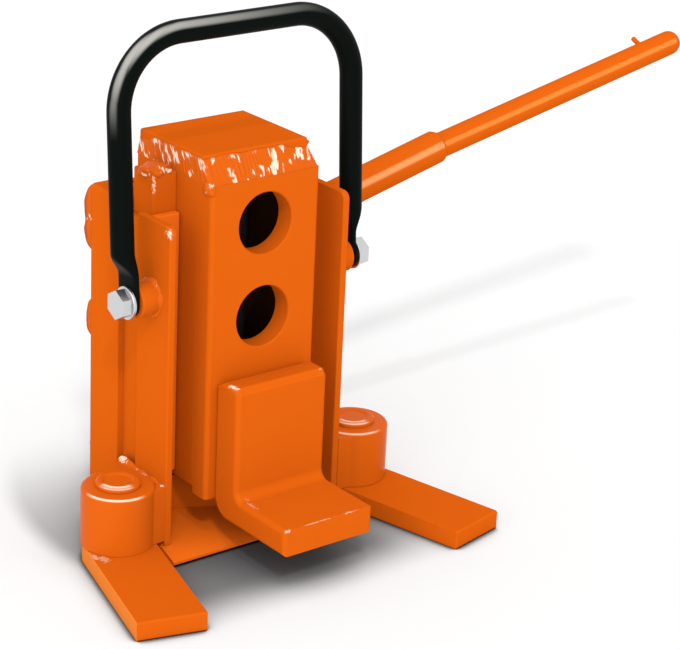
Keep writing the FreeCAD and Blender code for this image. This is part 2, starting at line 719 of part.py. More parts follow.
# Bail: a bent tube with flattened ends on two bolts.
def makeBail():
    body = newBody("bail_half", False)
    start = s["bail_start"]
    width, height, bend = s["bail_half_width"], s["bail_height"], s["bail_bend"]
    path = sketchOn(body, "XZ")
    corner = [(-width, start), (-width, height - bend), (bend - width, height), (asSize(0), height)]
    spots = [Vector(x.value, z.value, 0) for x, z in corner]
    path.addGeometry(Part.LineSegment(spots[0], spots[1]), False)
    turn = Part.Circle(Vector(bend.value - width.value, height.value - bend.value, 0),
                       Vector(0, 0, 1), bend.value)
    path.addGeometry(Part.ArcOfCircle(turn, math.pi / 2, math.pi), False)
    path.addGeometry(Part.LineSegment(spots[2], spots[3]), False)
    path.addConstraint(Sketcher.Constraint("Coincident", 0, 2, 1, 2))
    path.addConstraint(Sketcher.Constraint("Coincident", 1, 1, 2, 1))
    for index, point, spot in ((0, 1, 0), (0, 2, 1), (2, 1, 2), (2, 2, 3)):
        fix(path, f"across{spot}", "DistanceX", index, point, corner[spot][0])
        fix(path, f"up{spot}", "DistanceY", index, point, corner[spot][1])
    fix(path, "bendAcross", "DistanceX", 1, 3, bend - width)
    ring = sketchOn(body, "XY", start)
    circle(ring, -width, 0, s["bail_tube"])
    pipe = body.newObject("PartDesign::AdditivePipe", "Pipe")
    pipe.Profile = ring
    pipe.Spine = path
    doc.recompute()
    inner = -eyeInner
    flatMiddle = inner - s["bail_flat"] / 2
    tube, eye = s["bail_tube"], s["bail_eye"]
    skin = 0.3
    inside = tube - skin
    sections = []
    for level, middle, wide, deep in (
            (start + 3, -width, inside, inside),
            (s["bail_neck"], (flatMiddle - width) / 2, s["bail_neck_thickness"], s["bail_neck_width"]),
            (s["bail_eye_top"], flatMiddle, s["bail_flat"], eye)):
        section = sketchOn(body, "XY", level)
        ellipse(section, middle, 0, wide, deep)
        sections.append(section)
    flat = sketchOn(body, "YZ", inner)
    upright(flat, 0, 0, s["bail_eye_top"], eye)
    circle(flat, 0, 0, s["bolt_diameter"] + s["bolt_play"])
    pad(body, flat, s["bail_flat"], -1)
    loft = body.newObject("PartDesign::AdditiveLoft", "Loft")
    loft.Profile = sections[0]
    loft.Sections = sections[1:]
    doc.recompute()
    twin = doc.addObject("Part::Mirroring", "bail_twin")
    twin.Source = body
    twin.Normal = Vector(1, 0, 0)
    whole = doc.addObject("Part::MultiFuse", "bail_tube")
    whole.Label = "bail_tube"
    whole.Shapes = [body, twin]
    whole.Refine = True
    subParts.append(whole)
    place(whole, 0, boltY, s["bolt_height"], Vector(-1, 0, 0), s["bail_lean"])


def ellipse(sketch, x, y, wide, deep):
    # wide is the size along X, deep the size along Y
    x, y, wide, deep = asSize(x), asSize(y), asSize(wide), asSize(deep) * 1.0001
    centre = Vector(x.value, y.value, 0)
    major = centre + Vector(0, deep.value / 2, 0)
    minor = centre + Vector(wide.value / 2, 0, 0)
    index = sketch.addGeometry(Part.Ellipse(major, minor, centre), False)
    sketch.exposeInternalGeometry(index)
    fix(sketch, "across", "DistanceX", index, 3, x)
    fix(sketch, "up", "DistanceY", index, 3, y)
    longAxis, shortAxis = index + 1, index + 2
    for name, line, size in (("deep", longAxis, deep), ("wide", shortAxis, wide)):
        sketch.renameConstraint(sketch.addConstraint(
            Sketcher.Constraint("Distance", line, 1, line, 2, size.value)), name)
        bind(sketch, "Constraints." + name, size)
    sketch.addConstraint(Sketcher.Constraint("Vertical", longAxis))


def makeBailBolts():
    pieces = []
    washers = []
    reach = eyeInner + s["bail_flat"] + s["guide_gap"]
    for name, side in (("left", -1), ("right", 1)):
        bolt = newBody("bail_bolt_" + name, False)
        sketch = sketchOn(bolt, "XY")
        hexagon(sketch, 0, 0, s["bolt_flats"])
        pad(bolt, sketch, s["bolt_head"])
        shank = sketchOn(bolt, "XY")
        circle(shank, 0, 0, s["bolt_diameter"])
        pad(bolt, shank, reach + s["washer_thickness"] - frameHalf - 1, -1)
        place(bolt, side * (reach + s["washer_thickness"]), boltY, s["bolt_height"],
              Vector(0, 1, 0), side * 90)
        pieces.append(bolt)
        bore, rim = s["bolt_diameter"] / 2, s["washer_diameter"] / 2
        thick = s["washer_thickness"]
        washer = turned("bail_washer_" + name, [
            (bore, 0), (rim, 0), (rim, thick - 0.6), (rim - 0.6, thick), (bore, thick)], False)
        place(washer, side * reach, boltY, s["bolt_height"], Vector(0, 1, 0), side * 90)
        washers.append(washer)
    group("bail_bolts", pieces)
    group("bail_washers", washers)


# Ram: base block with slanted front faces, cylinder in an oil jacket, gland, rod.
def makeBlock():
    body = newBody("ram_block")
    sketch = sketchOn(body, "XY", baseTop)
    half, rear = s["block_half_width"], s["rear_block_half_width"]
    step = postBack - s["web_thickness"]
    polygon(sketch, [(0, -s["block_nose"]), (half, -s["block_shoulder"]), (half, step), (rear, step),
                     (rear, rearBlockBack), (-rear, rearBlockBack), (-rear, step), (-half, step),
                     (-half, -s["block_shoulder"])])
    pad(body, sketch, s["block_height"])
    top = blockTop.value
    webBack = postBack.value
    soften(body, "Chamfer", 2, lambda p, run: near(p.z, top) and p.y > webBack + 1)
    seat = sketchOn(body, "XY", blockTop - s["jacket_seat"])
    circle(seat, 0, 0, s["reservoir_diameter"])
    pocket(body, seat, s["jacket_seat"])
    sockets = sketchOn(body, "XY", blockTop)
    for x, y in screwPlaces():
        circle(sockets, x, y, s["screw_head"])
    pocket(body, sockets, s["screw_sink"], -1)


def screwPlaces():
    edge = s["screw_edge"]
    places = []
    for side in (-1, 1):
        places.append((side * (s["block_half_width"] - edge), boxBack - edge * 2))
        places.append((side * (s["rear_block_half_width"] - edge), rearBlockBack - edge))
    return places


def makeJacket():
    outer, wall = s["reservoir_diameter"] / 2, s["reservoir_wall"]
    floor, top = blockTop - s["jacket_seat"], s["ram_top"] - s["gland_height"]
    turned("oil_jacket", [(outer - wall, floor), (outer, floor), (outer, top), (outer - wall, top)])


def makeCylinder():
    outer, bore = s["cylinder_diameter"] / 2, s["ram_bore"] / 2
    floor, top = blockTop - s["jacket_seat"], s["ram_top"] - s["gland_height"]
    turned("ram_cylinder", [(0, floor), (outer, floor), (outer, top), (bore, top),
                            (bore, blockTop), (0, blockTop)])


def makeGland():
    outer, bore = s["reservoir_diameter"] / 2, s["rod_diameter"] / 2 + s["slide_fit"]
    floor, top = s["ram_top"] - s["gland_height"], s["ram_top"]
    bevel, wiper = 3, 2
    turned("ram_gland", [(bore, floor), (outer, floor), (outer, top - bevel), (outer - bevel, top),
                         (bore + bevel, top), (bore, top - wiper)])


def makeRod():
    rod, piston = s["rod_diameter"] / 2, s["ram_bore"] / 2 - s["slide_fit"]
    floor = blockTop + s["piston_rest"]
    shoulder, top = floor + s["piston_height"], boxTop - s["seat_floor"]
    turned("ram_rod", [(0, floor), (piston, floor), (piston, shoulder), (rod, shoulder),
                       (rod, top), (0, top)])


def makeSeat():
    rod, rim = s["rod_diameter"] / 2, s["seat_diameter"] / 2
    low, floor = boxTop - s["seat_thickness"], boxTop - s["seat_floor"]
    turned("ram_seat", [(rod, low), (rim, low), (rim, boxTop), (0, boxTop), (0, floor), (rod, floor)])


# Pump: bracket, rocker with stub, plunger in its cylinder, release valve.
def makeBracket():
    body = newBody("lever_bracket")
    wall, height = s["bracket_wall"], s["bracket_height"]
    left = -s["fulcrum_side"] - s["rocker_width"] / 2 - s["bracket_gap"]
    right = left + s["bracket_reach"]
    inner, outer = s["lever_plane"] - rockerSide, s["lever_plane"] + rockerSide
    sketch = sketchOn(body, "XY", s["fulcrum_height"] - height / 2)
    polygon(sketch, [(left - wall, postBack), (right, postBack), (right, inner), (left, inner),
                     (left, outer), (right, outer), (right, outer + wall),
                     (left - wall, outer + wall)])
    pad(body, sketch, height)
    corner, outside = (left - wall).value, (outer + wall).value
    soften(body, "Fillet", 5, lambda p, run: alongZ(run) and near(p.x, corner) and near(p.y, outside))
    start = postBack + s["pin_sunk"]
    bore = sketchOn(body, "XZ", start)
    circle(bore, -s["fulcrum_side"], s["fulcrum_height"], s["fulcrum_pin"])
    pocket(body, bore, outer + wall - start)


def makeFulcrumPin():
    radius = s["fulcrum_pin"] / 2
    start = postBack + s["pin_sunk"]
    reach = s["lever_plane"] + rockerSide + s["bracket_wall"] - start
    rim, head, bevel = radius + 3, reach + 4, 1
    body = turned("fulcrum_pin", [
        (0, 0), (radius, 0), (radius, reach), (rim, reach), (rim, head - bevel),
        (rim - bevel, head), (0, head)])
    place(body, -s["fulcrum_side"], start, s["fulcrum_height"], Vector(1, 0, 0), -90)


def makeRocker():
    # drawn level along +X from the fulcrum, then raised to the rest of the lever
    body = newBody("rocker")
    half = s["rocker_width"] / 2
    plate = (s["rocker_thickness"] - s["fork_gap"]) / 2
    for sense in (-1, 1):
        side = sketchOn(body, "XZ", sense * (s["fork_gap"] / 2))
        rectangle(side, 0, -half, s["stub_start"], half)
        circle(side, s["pin_hole_place"], 0, s["pin_hole"])
        pad(body, side, plate, sense)
        eye = sketchOn(body, "XZ", sense * (s["fork_gap"] / 2))
        circle(eye, 0, 0, s["rocker_width"])
        pad(body, eye, plate, sense)
        if sense < 0:
            block = sketchOn(body, "XZ", -s["rocker_thickness"] / 2)
            rectangle(block, s["stub_start"] - s["rocker_block"], -half, s["stub_start"], half)
            pad(body, block, s["rocker_thickness"])
    stub = sketchOn(body, "YZ", s["stub_start"])
    circle(stub, 0, 0, s["stub_diameter"])
    pad(body, stub, s["stub_length"])
    bore = sketchOn(body, "XZ", -s["rocker_thickness"] / 2)
    circle(bore, 0, 0, s["fulcrum_pin"] + s["slide_fit"] * 2)
    pocket(body, bore, s["rocker_thickness"])
    end = (s["stub_start"] + s["stub_length"]).value
    soften(body, "Chamfer", 2, lambda p, run: near(p.x, end))
    place(body, -s["fulcrum_side"], s["lever_plane"], s["fulcrum_height"],
          Vector(0, -1, 0), s["lever_rise"])


def alongLever(distance):
    return (distance * cosine(s["lever_rise"]) - s["fulcrum_side"],
            s["fulcrum_height"] + distance * sine(s["lever_rise"]))


def makeSleeve():
    outer, length = s["sleeve_diameter"] / 2, s["sleeve_length"]
    bore = outer - s["sleeve_wall"]
    body = turned("lever_socket", [
        (bore, 0), (outer - 1, 0), (outer, 1), (outer, length - 3), (outer - 1, length - 1),
        (outer - 3, length), (bore, length)])
    x, z = alongLever(sleeveStart)
    place(body, x, s["lever_plane"], z, Vector(0, 1, 0), 90 - s["lever_rise"])


def makeLeverTube():
    outer, wall = s["tube_diameter"] / 2, s["tube_wall"]
    length = s["tube_inset"] * 2 + s["tube_reach"]
    body = turned("lever_tube", [
        (outer - wall, 0), (outer, 0), (outer, length - 1), (outer - 1, length),
        (outer - wall, length)])
    hole = sketchOn(body, "YZ")
    circle(hole, 0, length - s["cross_pin_end"], s["cross_pin"])
    pocket(body, hole, outer, -1)
    x, z = tubeStart()
    place(body, x, s["lever_plane"], z, Vector(0, 1, 0), 90 - tubeRise)


def tubeStart():
    # the tube crosses the line of the socket halfway down its seat
    x, z = alongLever(sleeveStart + s["sleeve_length"] - s["tube_inset"])
    return x - s["tube_inset"] * cosine(tubeRise), z - s["tube_inset"] * sine(tubeRise)


def makeLeverPin():
    radius = s["cross_pin"] / 2
    low = s["tube_wall"] + 1 - s["tube_diameter"] / 2
    high = s["tube_diameter"] / 2 + s["cross_pin_reach"]
    body = turned("lever_cross_pin", [
        (0, low), (radius, low), (radius, high - 1), (radius - 1, high), (0, high)])
    x, z = tubeStart()
    distance = s["tube_inset"] * 2 + s["tube_reach"] - s["cross_pin_end"]
    place(body, x + distance * cosine(tubeRise), s["lever_plane"],
          z + distance * sine(tubeRise), Vector(0, 1, 0), -tubeRise)


def makePump():
    outer, bore = s["pump_barrel"] / 2, s["plunger_diameter"] / 2 + s["slide_fit"]
    flange, flangeTop = s["pump_flange"] / 2, blockTop + s["pump_flange_height"]
    top, floor = s["pump_top"], blockTop + s["pump_floor"]
    neckLow, neck = top - s["pump_neck"], outer - 3
    body = turned("pump_cylinder", [
        (0, blockTop), (flange, blockTop), (flange, flangeTop), (outer, flangeTop + 3),
        (outer, neckLow), (neck, neckLow + 1), (neck, top - 1), (neck - 1, top),
        (bore, top), (bore, floor), (0, floor)])
    place(body, pumpX, s["lever_plane"], 0)


def makePlunger():
    body = newBody("pump_plunger")
    radius, foot = s["plunger_diameter"] / 2, blockTop + s["plunger_rise"]
    neck = pinHeight - s["plunger_eye"]
    revolve(body, [(0, foot), (radius, foot), (radius, neck), (0, neck)])
    tongue = s["plunger_tongue"]
    eye = sketchOn(body, "XZ", tongue / 2)
    upright(eye, 0, neck + 3, pinHeight, s["plunger_diameter"])
    circle(eye, 0, pinHeight, s["pump_pin"])
    pad(body, eye, tongue, -1)
    place(body, pumpX, s["lever_plane"], 0)


def makePumpPin():
    radius, half = s["pump_pin"] / 2, s["rocker_thickness"] / 2
    body = turned("pump_pin", [(0, -half), (radius - 1, -half), (radius, 1 - half),
                               (radius, half - 1), (radius - 1, half), (0, half)])
    place(body, pumpX, s["lever_plane"], pinHeight, Vector(1, 0, 0), 90)


def makeValve():
    knob, collar, neck, bevel = s["knob_diameter"] / 2, 7, 5, 2
    low = 9
    top = low + s["knob_height"]
    body = turned("release_valve", [
        (0, 0), (collar, 0), (collar, low - neck), (neck, low - neck + 1), (neck, low),
        (knob - bevel, low), (knob, low + bevel), (knob, top - bevel), (knob - bevel, top), (0, top)])
    place(body, -s["valve_side"], rearBlockBack, s["valve_height"], Vector(1, 0, 0), -90)
    barHalf, barWidth, barThick = s["knob_bar"] / 2, 5, 6
    bar = sketchOn(body, "XZ", -barWidth / 2)
    rectangle(bar, -barHalf, low + 4, barHalf, low + 4 + barThick)
    pad(body, bar, barWidth)


def makePlugs():
    pieces = []
    for index in range(2):
        plug = newBody(f"valve_plug_{index}", False)
        sketch = sketchOn(plug, "XZ", rearBlockBack)
        hexagon(sketch, pumpX + s["plug_pitch"] * index, s["valve_height"], s["plug_flats"])
        pad(plug, sketch, s["plug_height"])
        pieces.append(plug)
    group("valve_plugs", pieces)
    filler = newBody("filler_plug")
    sketch = sketchOn(filler, "XY", blockTop)
    hexagon(sketch, -s["valve_side"], s["lever_plane"], s["filler_flats"])
    pad(filler, sketch, s["filler_height"])


def makeBlockScrews():
    pieces = []
    for index, (x, y) in enumerate(screwPlaces()):
        screw = newBody(f"block_screw_{index}", False)
        head = sketchOn(screw, "XY", blockTop - s["screw_sink"])
        circle(head, x, y, s["screw_head"])
        pad(screw, head, s["screw_sink"] - 1)
        pieces.append(screw)
    group("block_screws", pieces)


makeBase()
for name, side in (("left", -1), ("right", 1)):
    makeCheek(name, side)
    makeGuideBar(name, side)
    makeLiner(name, side)
    makePost(name, side)
    makeBoss(name, side)
    makeHousing(name, side)
    makeFootPin(name, side)
    makeWing(name, side)
makeFoot("left", -1, s["splay_left"])
makeFoot("right", 1, s["splay_right"])
makeWeb()
makeFrontPlate()
makeChannel()
makeHead()
makeHeadBead()
makeToe()
makeToeStud()
makeBail()
makeBailBolts()
makeBlock()
makeBlockScrews()
makeJacket()
makeCylinder()
makeGland()
makeRod()
makeSeat()
makeBracket()
makeFulcrumPin()
makeRocker()
makeSleeve()
makeLeverTube()
makeLeverPin()
makePump()
makePlunger()
makePumpPin()
makeValve()
makePlugs()
doc.recompute()

for item in doc.Objects:
    if "Invalid" in item.State or "Error" in item.State:
        raise RuntimeError(f"{item.Label} failed: {item.State}")
for item in subParts:
    if item.Shape.isNull() or not item.Shape.isValid():
        raise RuntimeError(f"{item.Label} has no valid shape")

os.makedirs("parts", exist_ok=True)
for item in subParts:
    item.Shape.exportStep(os.path.join("parts", item.Label + ".step"))
print(len(subParts), "sub-parts written")
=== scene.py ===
import json
import math
import bmesh
import bpy
import numpy as np
from mathutils import Matrix, Vector


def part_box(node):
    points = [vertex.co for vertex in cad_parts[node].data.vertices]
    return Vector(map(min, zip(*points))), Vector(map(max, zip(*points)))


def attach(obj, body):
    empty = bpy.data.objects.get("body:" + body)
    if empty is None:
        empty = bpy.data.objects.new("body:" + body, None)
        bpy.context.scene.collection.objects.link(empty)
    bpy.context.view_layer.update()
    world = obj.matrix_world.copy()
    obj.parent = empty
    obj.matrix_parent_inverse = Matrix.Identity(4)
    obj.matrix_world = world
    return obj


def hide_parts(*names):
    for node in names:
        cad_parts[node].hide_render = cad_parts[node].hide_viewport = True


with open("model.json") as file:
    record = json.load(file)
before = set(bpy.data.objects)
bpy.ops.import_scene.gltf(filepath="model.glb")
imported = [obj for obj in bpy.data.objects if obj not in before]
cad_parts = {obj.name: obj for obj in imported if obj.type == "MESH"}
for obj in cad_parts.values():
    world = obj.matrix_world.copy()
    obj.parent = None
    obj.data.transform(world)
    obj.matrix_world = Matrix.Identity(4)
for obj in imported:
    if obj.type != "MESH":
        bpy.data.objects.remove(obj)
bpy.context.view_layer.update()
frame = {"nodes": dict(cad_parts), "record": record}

nodes = frame["nodes"]
bodyOfNode = {node: body for body, members in frame["record"]["behaviour"]["bodies"].items()
              for node in members}
slotOfNode = {row["node"]: row["material_slot"] for row in frame["record"]["subparts"]}
mm = 0.001
scene = bpy.context.scene
scene.view_settings.view_transform = "Standard"
print("frame loaded:", len(nodes), "nodes")


# Shader helpers.
def addNode(tree, kind, x=0, y=0, **settings):
    node = tree.nodes.new(kind)
    node.location = (x, y)
    for name, value in settings.items():
        setattr(node, name, value)
    return node


def setSockets(node, **values):
    for name, value in values.items():
        node.inputs[name.replace("_", " ")].default_value = value


def startMaterial(name):
    material = bpy.data.materials.new(name)
    material.use_nodes = True
    tree = material.node_tree
    return material, tree, tree.nodes["Principled BSDF"]


def startGroup(name, inputs, outputs):
    group = bpy.data.node_groups.new(name, "ShaderNodeTree")
    for label, kind, value in inputs:
        socket = group.interface.new_socket(label, in_out="INPUT", socket_type=kind)
        if value is not None:
            socket.default_value = value
    for label, kind in outputs:
        group.interface.new_socket(label, in_out="OUTPUT", socket_type=kind)
    return group, addNode(group, "NodeGroupInput", -900), addNode(group, "NodeGroupOutput", 700)


def makeEnamelGroup():
    # brushed-on gloss enamel: slow shifts of tone, fine waves of the film and a few dust grains
    group, source, sink = startGroup("enamelFilm", [
        ("Tone", "NodeSocketColor", (0.8, 0.13, 0.005, 1)),
        ("Shade", "NodeSocketColor", (0.62, 0.09, 0.005, 1)),
        ("Gloss", "NodeSocketFloat", 0.25),
        ("Wave Height", "NodeSocketFloat", 0.15),
        ("Grain Height", "NodeSocketFloat", 0.3)],
        [("Color", "NodeSocketColor"), ("Roughness", "NodeSocketFloat"), ("Normal", "NodeSocketVector")])
    link = group.links.new
    where = addNode(group, "ShaderNodeTexCoord", -900, -300)
    slow = addNode(group, "ShaderNodeTexNoise", -650, 200)
    setSockets(slow, Scale=9.0, Detail=3.0, Roughness=0.55)
    span = addNode(group, "ShaderNodeMapRange", -450, 200)
    setSockets(span, From_Min=0.35, From_Max=0.75, To_Min=0.0, To_Max=0.4)
    tone = addNode(group, "ShaderNodeMix", -200, 250, data_type="RGBA")
    wave = addNode(group, "ShaderNodeTexNoise", -650, -50)
    setSockets(wave, Scale=160.0, Detail=2.0, Roughness=0.5)
    dust = addNode(group, "ShaderNodeTexVoronoi", -650, -350)
    setSockets(dust, Scale=70.0, Randomness=1.0)
    grain = addNode(group, "ShaderNodeMapRange", -450, -350)
    setSockets(grain, From_Min=0.0, From_Max=0.055, To_Min=1.0, To_Max=0.0)
    rough = addNode(group, "ShaderNodeMath", -200, 0, operation="MULTIPLY_ADD")
    rough.inputs[1].default_value = 0.12
    first = addNode(group, "ShaderNodeBump", 100, -100)
    setSockets(first, Distance=0.0006)
    second = addNode(group, "ShaderNodeBump", 350, -200)
    setSockets(second, Distance=0.0008)
    for texture in (slow, wave, dust):
        link(where.outputs["Object"], texture.inputs["Vector"])
    link(slow.outputs["Fac"], span.inputs["Value"])
    link(span.outputs["Result"], tone.inputs["Factor"])
    link(source.outputs["Tone"], tone.inputs["A"])
    link(source.outputs["Shade"], tone.inputs["B"])
    link(tone.outputs["Result"], sink.inputs["Color"])
    link(slow.outputs["Fac"], rough.inputs[0])
    link(source.outputs["Gloss"], rough.inputs[2])
    link(rough.outputs["Value"], sink.inputs["Roughness"])
    link(wave.outputs["Fac"], first.inputs["Height"])
    link(source.outputs["Wave Height"], first.inputs["Strength"])
    link(dust.outputs["Distance"], grain.inputs["Value"])
    link(grain.outputs["Result"], second.inputs["Height"])
    link(source.outputs["Grain Height"], second.inputs["Strength"])
    link(first.outputs["Normal"], second.inputs["Normal"])
    link(second.outputs["Normal"], sink.inputs["Normal"])
    return group


enamelFilm = makeEnamelGroup()


# Math, ramps, mixes and noise, one node each; numbers, colours and sockets all go in.
def chain(tree, operation, first, second=None, clamp=False):
    node = addNode(tree, "ShaderNodeMath", operation=operation, use_clamp=clamp)
    for index, value in enumerate((first, second)):
        if isinstance(value, (int, float)):
            node.inputs[index].default_value = value
        elif value is not None:
            tree.links.new(value, node.inputs[index])
    return node.outputs["Value"]


def product(tree, *factors):
    total = factors[0]
    for factor in factors[1:]:
        total = chain(tree, "MULTIPLY", total, factor)
    return total


def largest(tree, masks):
    total = masks[0]
    for mask in masks[1:]:
        total = chain(tree, "MAXIMUM", total, mask)
    return total


def rampUp(tree, value, low, high):
    node = addNode(tree, "ShaderNodeMapRange", interpolation_type="SMOOTHSTEP")
    setSockets(node, From_Min=low, From_Max=high)
    tree.links.new(value, node.inputs["Value"])
    return node.outputs["Result"]


def blend(tree, share, first, second):
    node = addNode(tree, "ShaderNodeMix", data_type="RGBA")
    tree.links.new(share, node.inputs["Factor"])
    for name, value in (("A", first), ("B", second)):
        if isinstance(value, tuple):
            node.inputs[name].default_value = (*value, 1)
        else:
            tree.links.new(value, node.inputs[name])
    return node.outputs["Result"]


def noise(tree, vector, **settings):
    node = addNode(tree, "ShaderNodeTexNoise")
    setSockets(node, **settings)
    tree.links.new(vector, node.inputs["Vector"])
    return node.outputs["Fac"]


def splitPlace(tree):
    # the place on the piece, whole and as its three coordinates
    where = addNode(tree, "ShaderNodeTexCoord").outputs["Object"]
    parts = addNode(tree, "ShaderNodeSeparateXYZ")
    tree.links.new(where, parts.inputs["Vector"])
    return where, [parts.outputs[axis] for axis in "XYZ"]


# Painted highlights where the gloss would catch, in millimetres: centre, radii and level of a spot; centre,
# radius, width and level of an arc. A band gives the strokes' scales and lean, their cover and their heights.
highlightValues = {"strokeSoft": 0.07, "patchSoft": 0.06, "bandSoft": 3, "raggedScale": 420.0, "ragged": 2.4,
              "spotEdge": (2.0, 1.5), "arcAim": (-0.63, -0.78), "arcReach": (0.55, 0.85), "arcCore": 0.3,
              "strength": 0.95, "light": (1.0, 0.8, 0.62)}


def strokeHighlights(group, where, place, band):
    # painted highlight strokes drawn out over the height of a bead, in patches and within a band of heights
    x, y, z = place
    along = chain(group, "ADD", chain(group, "SUBTRACT", x, y), product(group, z, band["lean"]))
    depth = chain(group, "ADD", x, y)
    stretch = addNode(group, "ShaderNodeCombineXYZ")
    for axis, value, scale in (("X", along, "pitch"), ("Y", z, "tall"), ("Z", depth, "tall")):
        group.links.new(product(group, value, band[scale]), stretch.inputs[axis])
    strokes = noise(group, stretch.outputs["Vector"], Scale=1.0, Detail=2.0, Roughness=0.5, Distortion=0.6)
    patches = noise(group, where, Scale=band["patch"], Detail=2.0)
    low, high = (level * mm for level in band["levels"])
    soft = highlightValues["bandSoft"] * mm
    return product(group, rampUp(group, strokes, band["start"], band["start"] + highlightValues["strokeSoft"]),
                   rampUp(group, patches, band["cover"], band["cover"] + highlightValues["patchSoft"]),
                   rampUp(group, z, low, low + soft), rampUp(group, z, high, high - soft))


def spotHighlight(group, where, ragged, centre, radii, level):
    # a painted highlight spot: the distance from the centre, counted in radii and made ragged by noise, is
    # short
    vector = where
    for operation, values in (("SUBTRACT", centre), ("DIVIDE", radii)):
        step = addNode(group, "ShaderNodeVectorMath", operation=operation)
        step.inputs[1].default_value = [value * mm for value in values]
        group.links.new(vector, step.inputs[0])
        vector = step.outputs["Vector"]
    size = addNode(group, "ShaderNodeVectorMath", operation="LENGTH")
    group.links.new(vector, size.inputs[0])
    reach = chain(group, "ADD", size.outputs["Value"], product(group, ragged, highlightValues["ragged"]))
    return product(group, rampUp(group, reach, *highlightValues["spotEdge"]), level)


def arcHighlight(group, place, centre, radius, width, level):
    # a painted highlight arc close to a level circle, on its front left side
    across, ahead, above = (chain(group, "SUBTRACT", value, middle * mm)
                            for value, middle in zip(place, centre))
    square = chain(group, "ADD", product(group, across, across), product(group, ahead, ahead))
    away = chain(group, "SQRT", square)
    beside = chain(group, "ABSOLUTE", chain(group, "SUBTRACT", away, radius * mm))
    off = chain(group, "ADD", beside, chain(group, "ABSOLUTE", above))
    aimX, aimY = highlightValues["arcAim"]
    facing = chain(group, "ADD", product(group, across, aimX), product(group, ahead, aimY))
    turned = chain(group, "DIVIDE", facing, away)
    return product(group, rampUp(group, off, width * mm, width * mm * highlightValues["arcCore"]),
                   rampUp(group, turned, *highlightValues["arcReach"]), level)


def makeHighlightsGroup(name, band, spots, arcs):
    group, _, sink = startGroup(name, [], [("Mask", "NodeSocketFloat")])
    where, place = splitPlace(group)
    marks = [strokeHighlights(group, where, place, band)] if band else []
    if spots:
        ragged = noise(group, where, Scale=highlightValues["raggedScale"], Detail=2.0)
        marks += [spotHighlight(group, where, ragged, *spot) for spot in spots]
    marks += [arcHighlight(group, place, *arc) for arc in arcs]
    group.links.new(product(group, largest(group, marks), highlightValues["strength"]), sink.inputs["Mask"])
    return group


def paintedSheenShare(tree, sheen):
    # a painted sheen where the skin faces one of the given ways; it may fade along x and down the height
    normal = addNode(tree, "ShaderNodeTexCoord").outputs["Normal"]
    lobes = []
    for aim in sheen["aims"]:
        facing = addNode(tree, "ShaderNodeVectorMath", operation="DOT_PRODUCT")
        facing.inputs[1].default_value = aim
        tree.links.new(normal, facing.inputs[0])
        lobe = rampUp(tree, facing.outputs["Value"], *sheen["range"])
        lobes.append(chain(tree, "POWER", lobe, sheen["power"]))
    share = largest(tree, lobes)
    if "alongX" in sheen:
        x, _, z = splitPlace(tree)[1]
        full, gone = sheen["alongX"]
        along = chain(tree, "DIVIDE", chain(tree, "SUBTRACT", gone, x), gone - full, clamp=True)
        share = product(tree, share, product(tree, along, rampUp(tree, z, *sheen["height"])))
    return share


enamelValues = {"tone": (0.70, 0.116, 0.0052), "shade": (0.665, 0.106, 0.0048), "gloss": 0.3, "wave": 0.03,
                "grain": 0.0, "specular": 0.0, "bounce": (0.95, 0.62, 0.5), "bounceWeights": (0.7, 0.3)}


def makeEnamel(name, band=None, spots=(), arcs=(), sheen=None, **changes):
    # light that bounces off the paint onto its surroundings is kept nearly grey
    values = {**enamelValues, **changes}
    material, tree, shader = startMaterial(name)
    film = addNode(tree, "ShaderNodeGroup", -600)
    film.node_tree = enamelFilm
    setSockets(film, Tone=(*values["tone"], 1), Shade=(*values["shade"], 1), Gloss=values["gloss"],
               Wave_Height=values["wave"], Grain_Height=values["grain"])
    colour = film.outputs["Color"]
    # painted sheen: a lighter colour where the skin faces the sheen's aims
    if sheen:
        colour = blend(tree, paintedSheenShare(tree, sheen), colour, sheen["tone"])
    # painted highlights: strokes, spots and arcs of light colour
    if band or spots or arcs:
        marks = addNode(tree, "ShaderNodeGroup", -600, -300)
        marks.node_tree = makeHighlightsGroup(name + "Marks", band, spots, arcs)
        colour = blend(tree, marks.outputs["Mask"], colour, highlightValues["light"])
    grey = sum(weight * level for weight, level in zip(values["bounceWeights"], values["tone"]))
    bounce = tuple(grey * part for part in values["bounce"])
    seen = addNode(tree, "ShaderNodeLightPath", -600, 400)
    colour = blend(tree, seen.outputs["Is Diffuse Ray"], colour, bounce)
    tree.links.new(colour, shader.inputs["Base Color"])
    tree.links.new(film.outputs["Roughness"], shader.inputs["Roughness"])
    tree.links.new(film.outputs["Normal"], shader.inputs["Normal"])
    shader.inputs["Specular IOR Level"].default_value = values["specular"]
    return material


def makeMetal(name, tone, roughness, scratchScale, bump):
    # fine scratches, drawn out where the scale differs, in the roughness and the height
    material, tree, shader = startMaterial(name)
    where = addNode(tree, "ShaderNodeTexCoord", -1000)
    stretch = addNode(tree, "ShaderNodeMapping", -800)
    stretch.inputs["Scale"].default_value = scratchScale
    tree.links.new(where.outputs["Object"], stretch.inputs["Vector"])
    lines = noise(tree, stretch.outputs["Vector"], Scale=300.0, Detail=4.0, Roughness=0.6)
    span = addNode(tree, "ShaderNodeMapRange", -350)
    setSockets(span, To_Min=roughness - 0.06, To_Max=roughness + 0.12)
    height = addNode(tree, "ShaderNodeBump", -350, -300)
    setSockets(height, Strength=bump, Distance=0.0003)
    tree.links.new(lines, span.inputs["Value"])
    tree.links.new(span.outputs["Result"], shader.inputs["Roughness"])
    tree.links.new(lines, height.inputs["Height"])
    tree.links.new(height.outputs["Normal"], shader.inputs["Normal"])
    shader.inputs["Base Color"].default_value = (*tone, 1)
    shader.inputs["Metallic"].default_value = 1.0
    return material
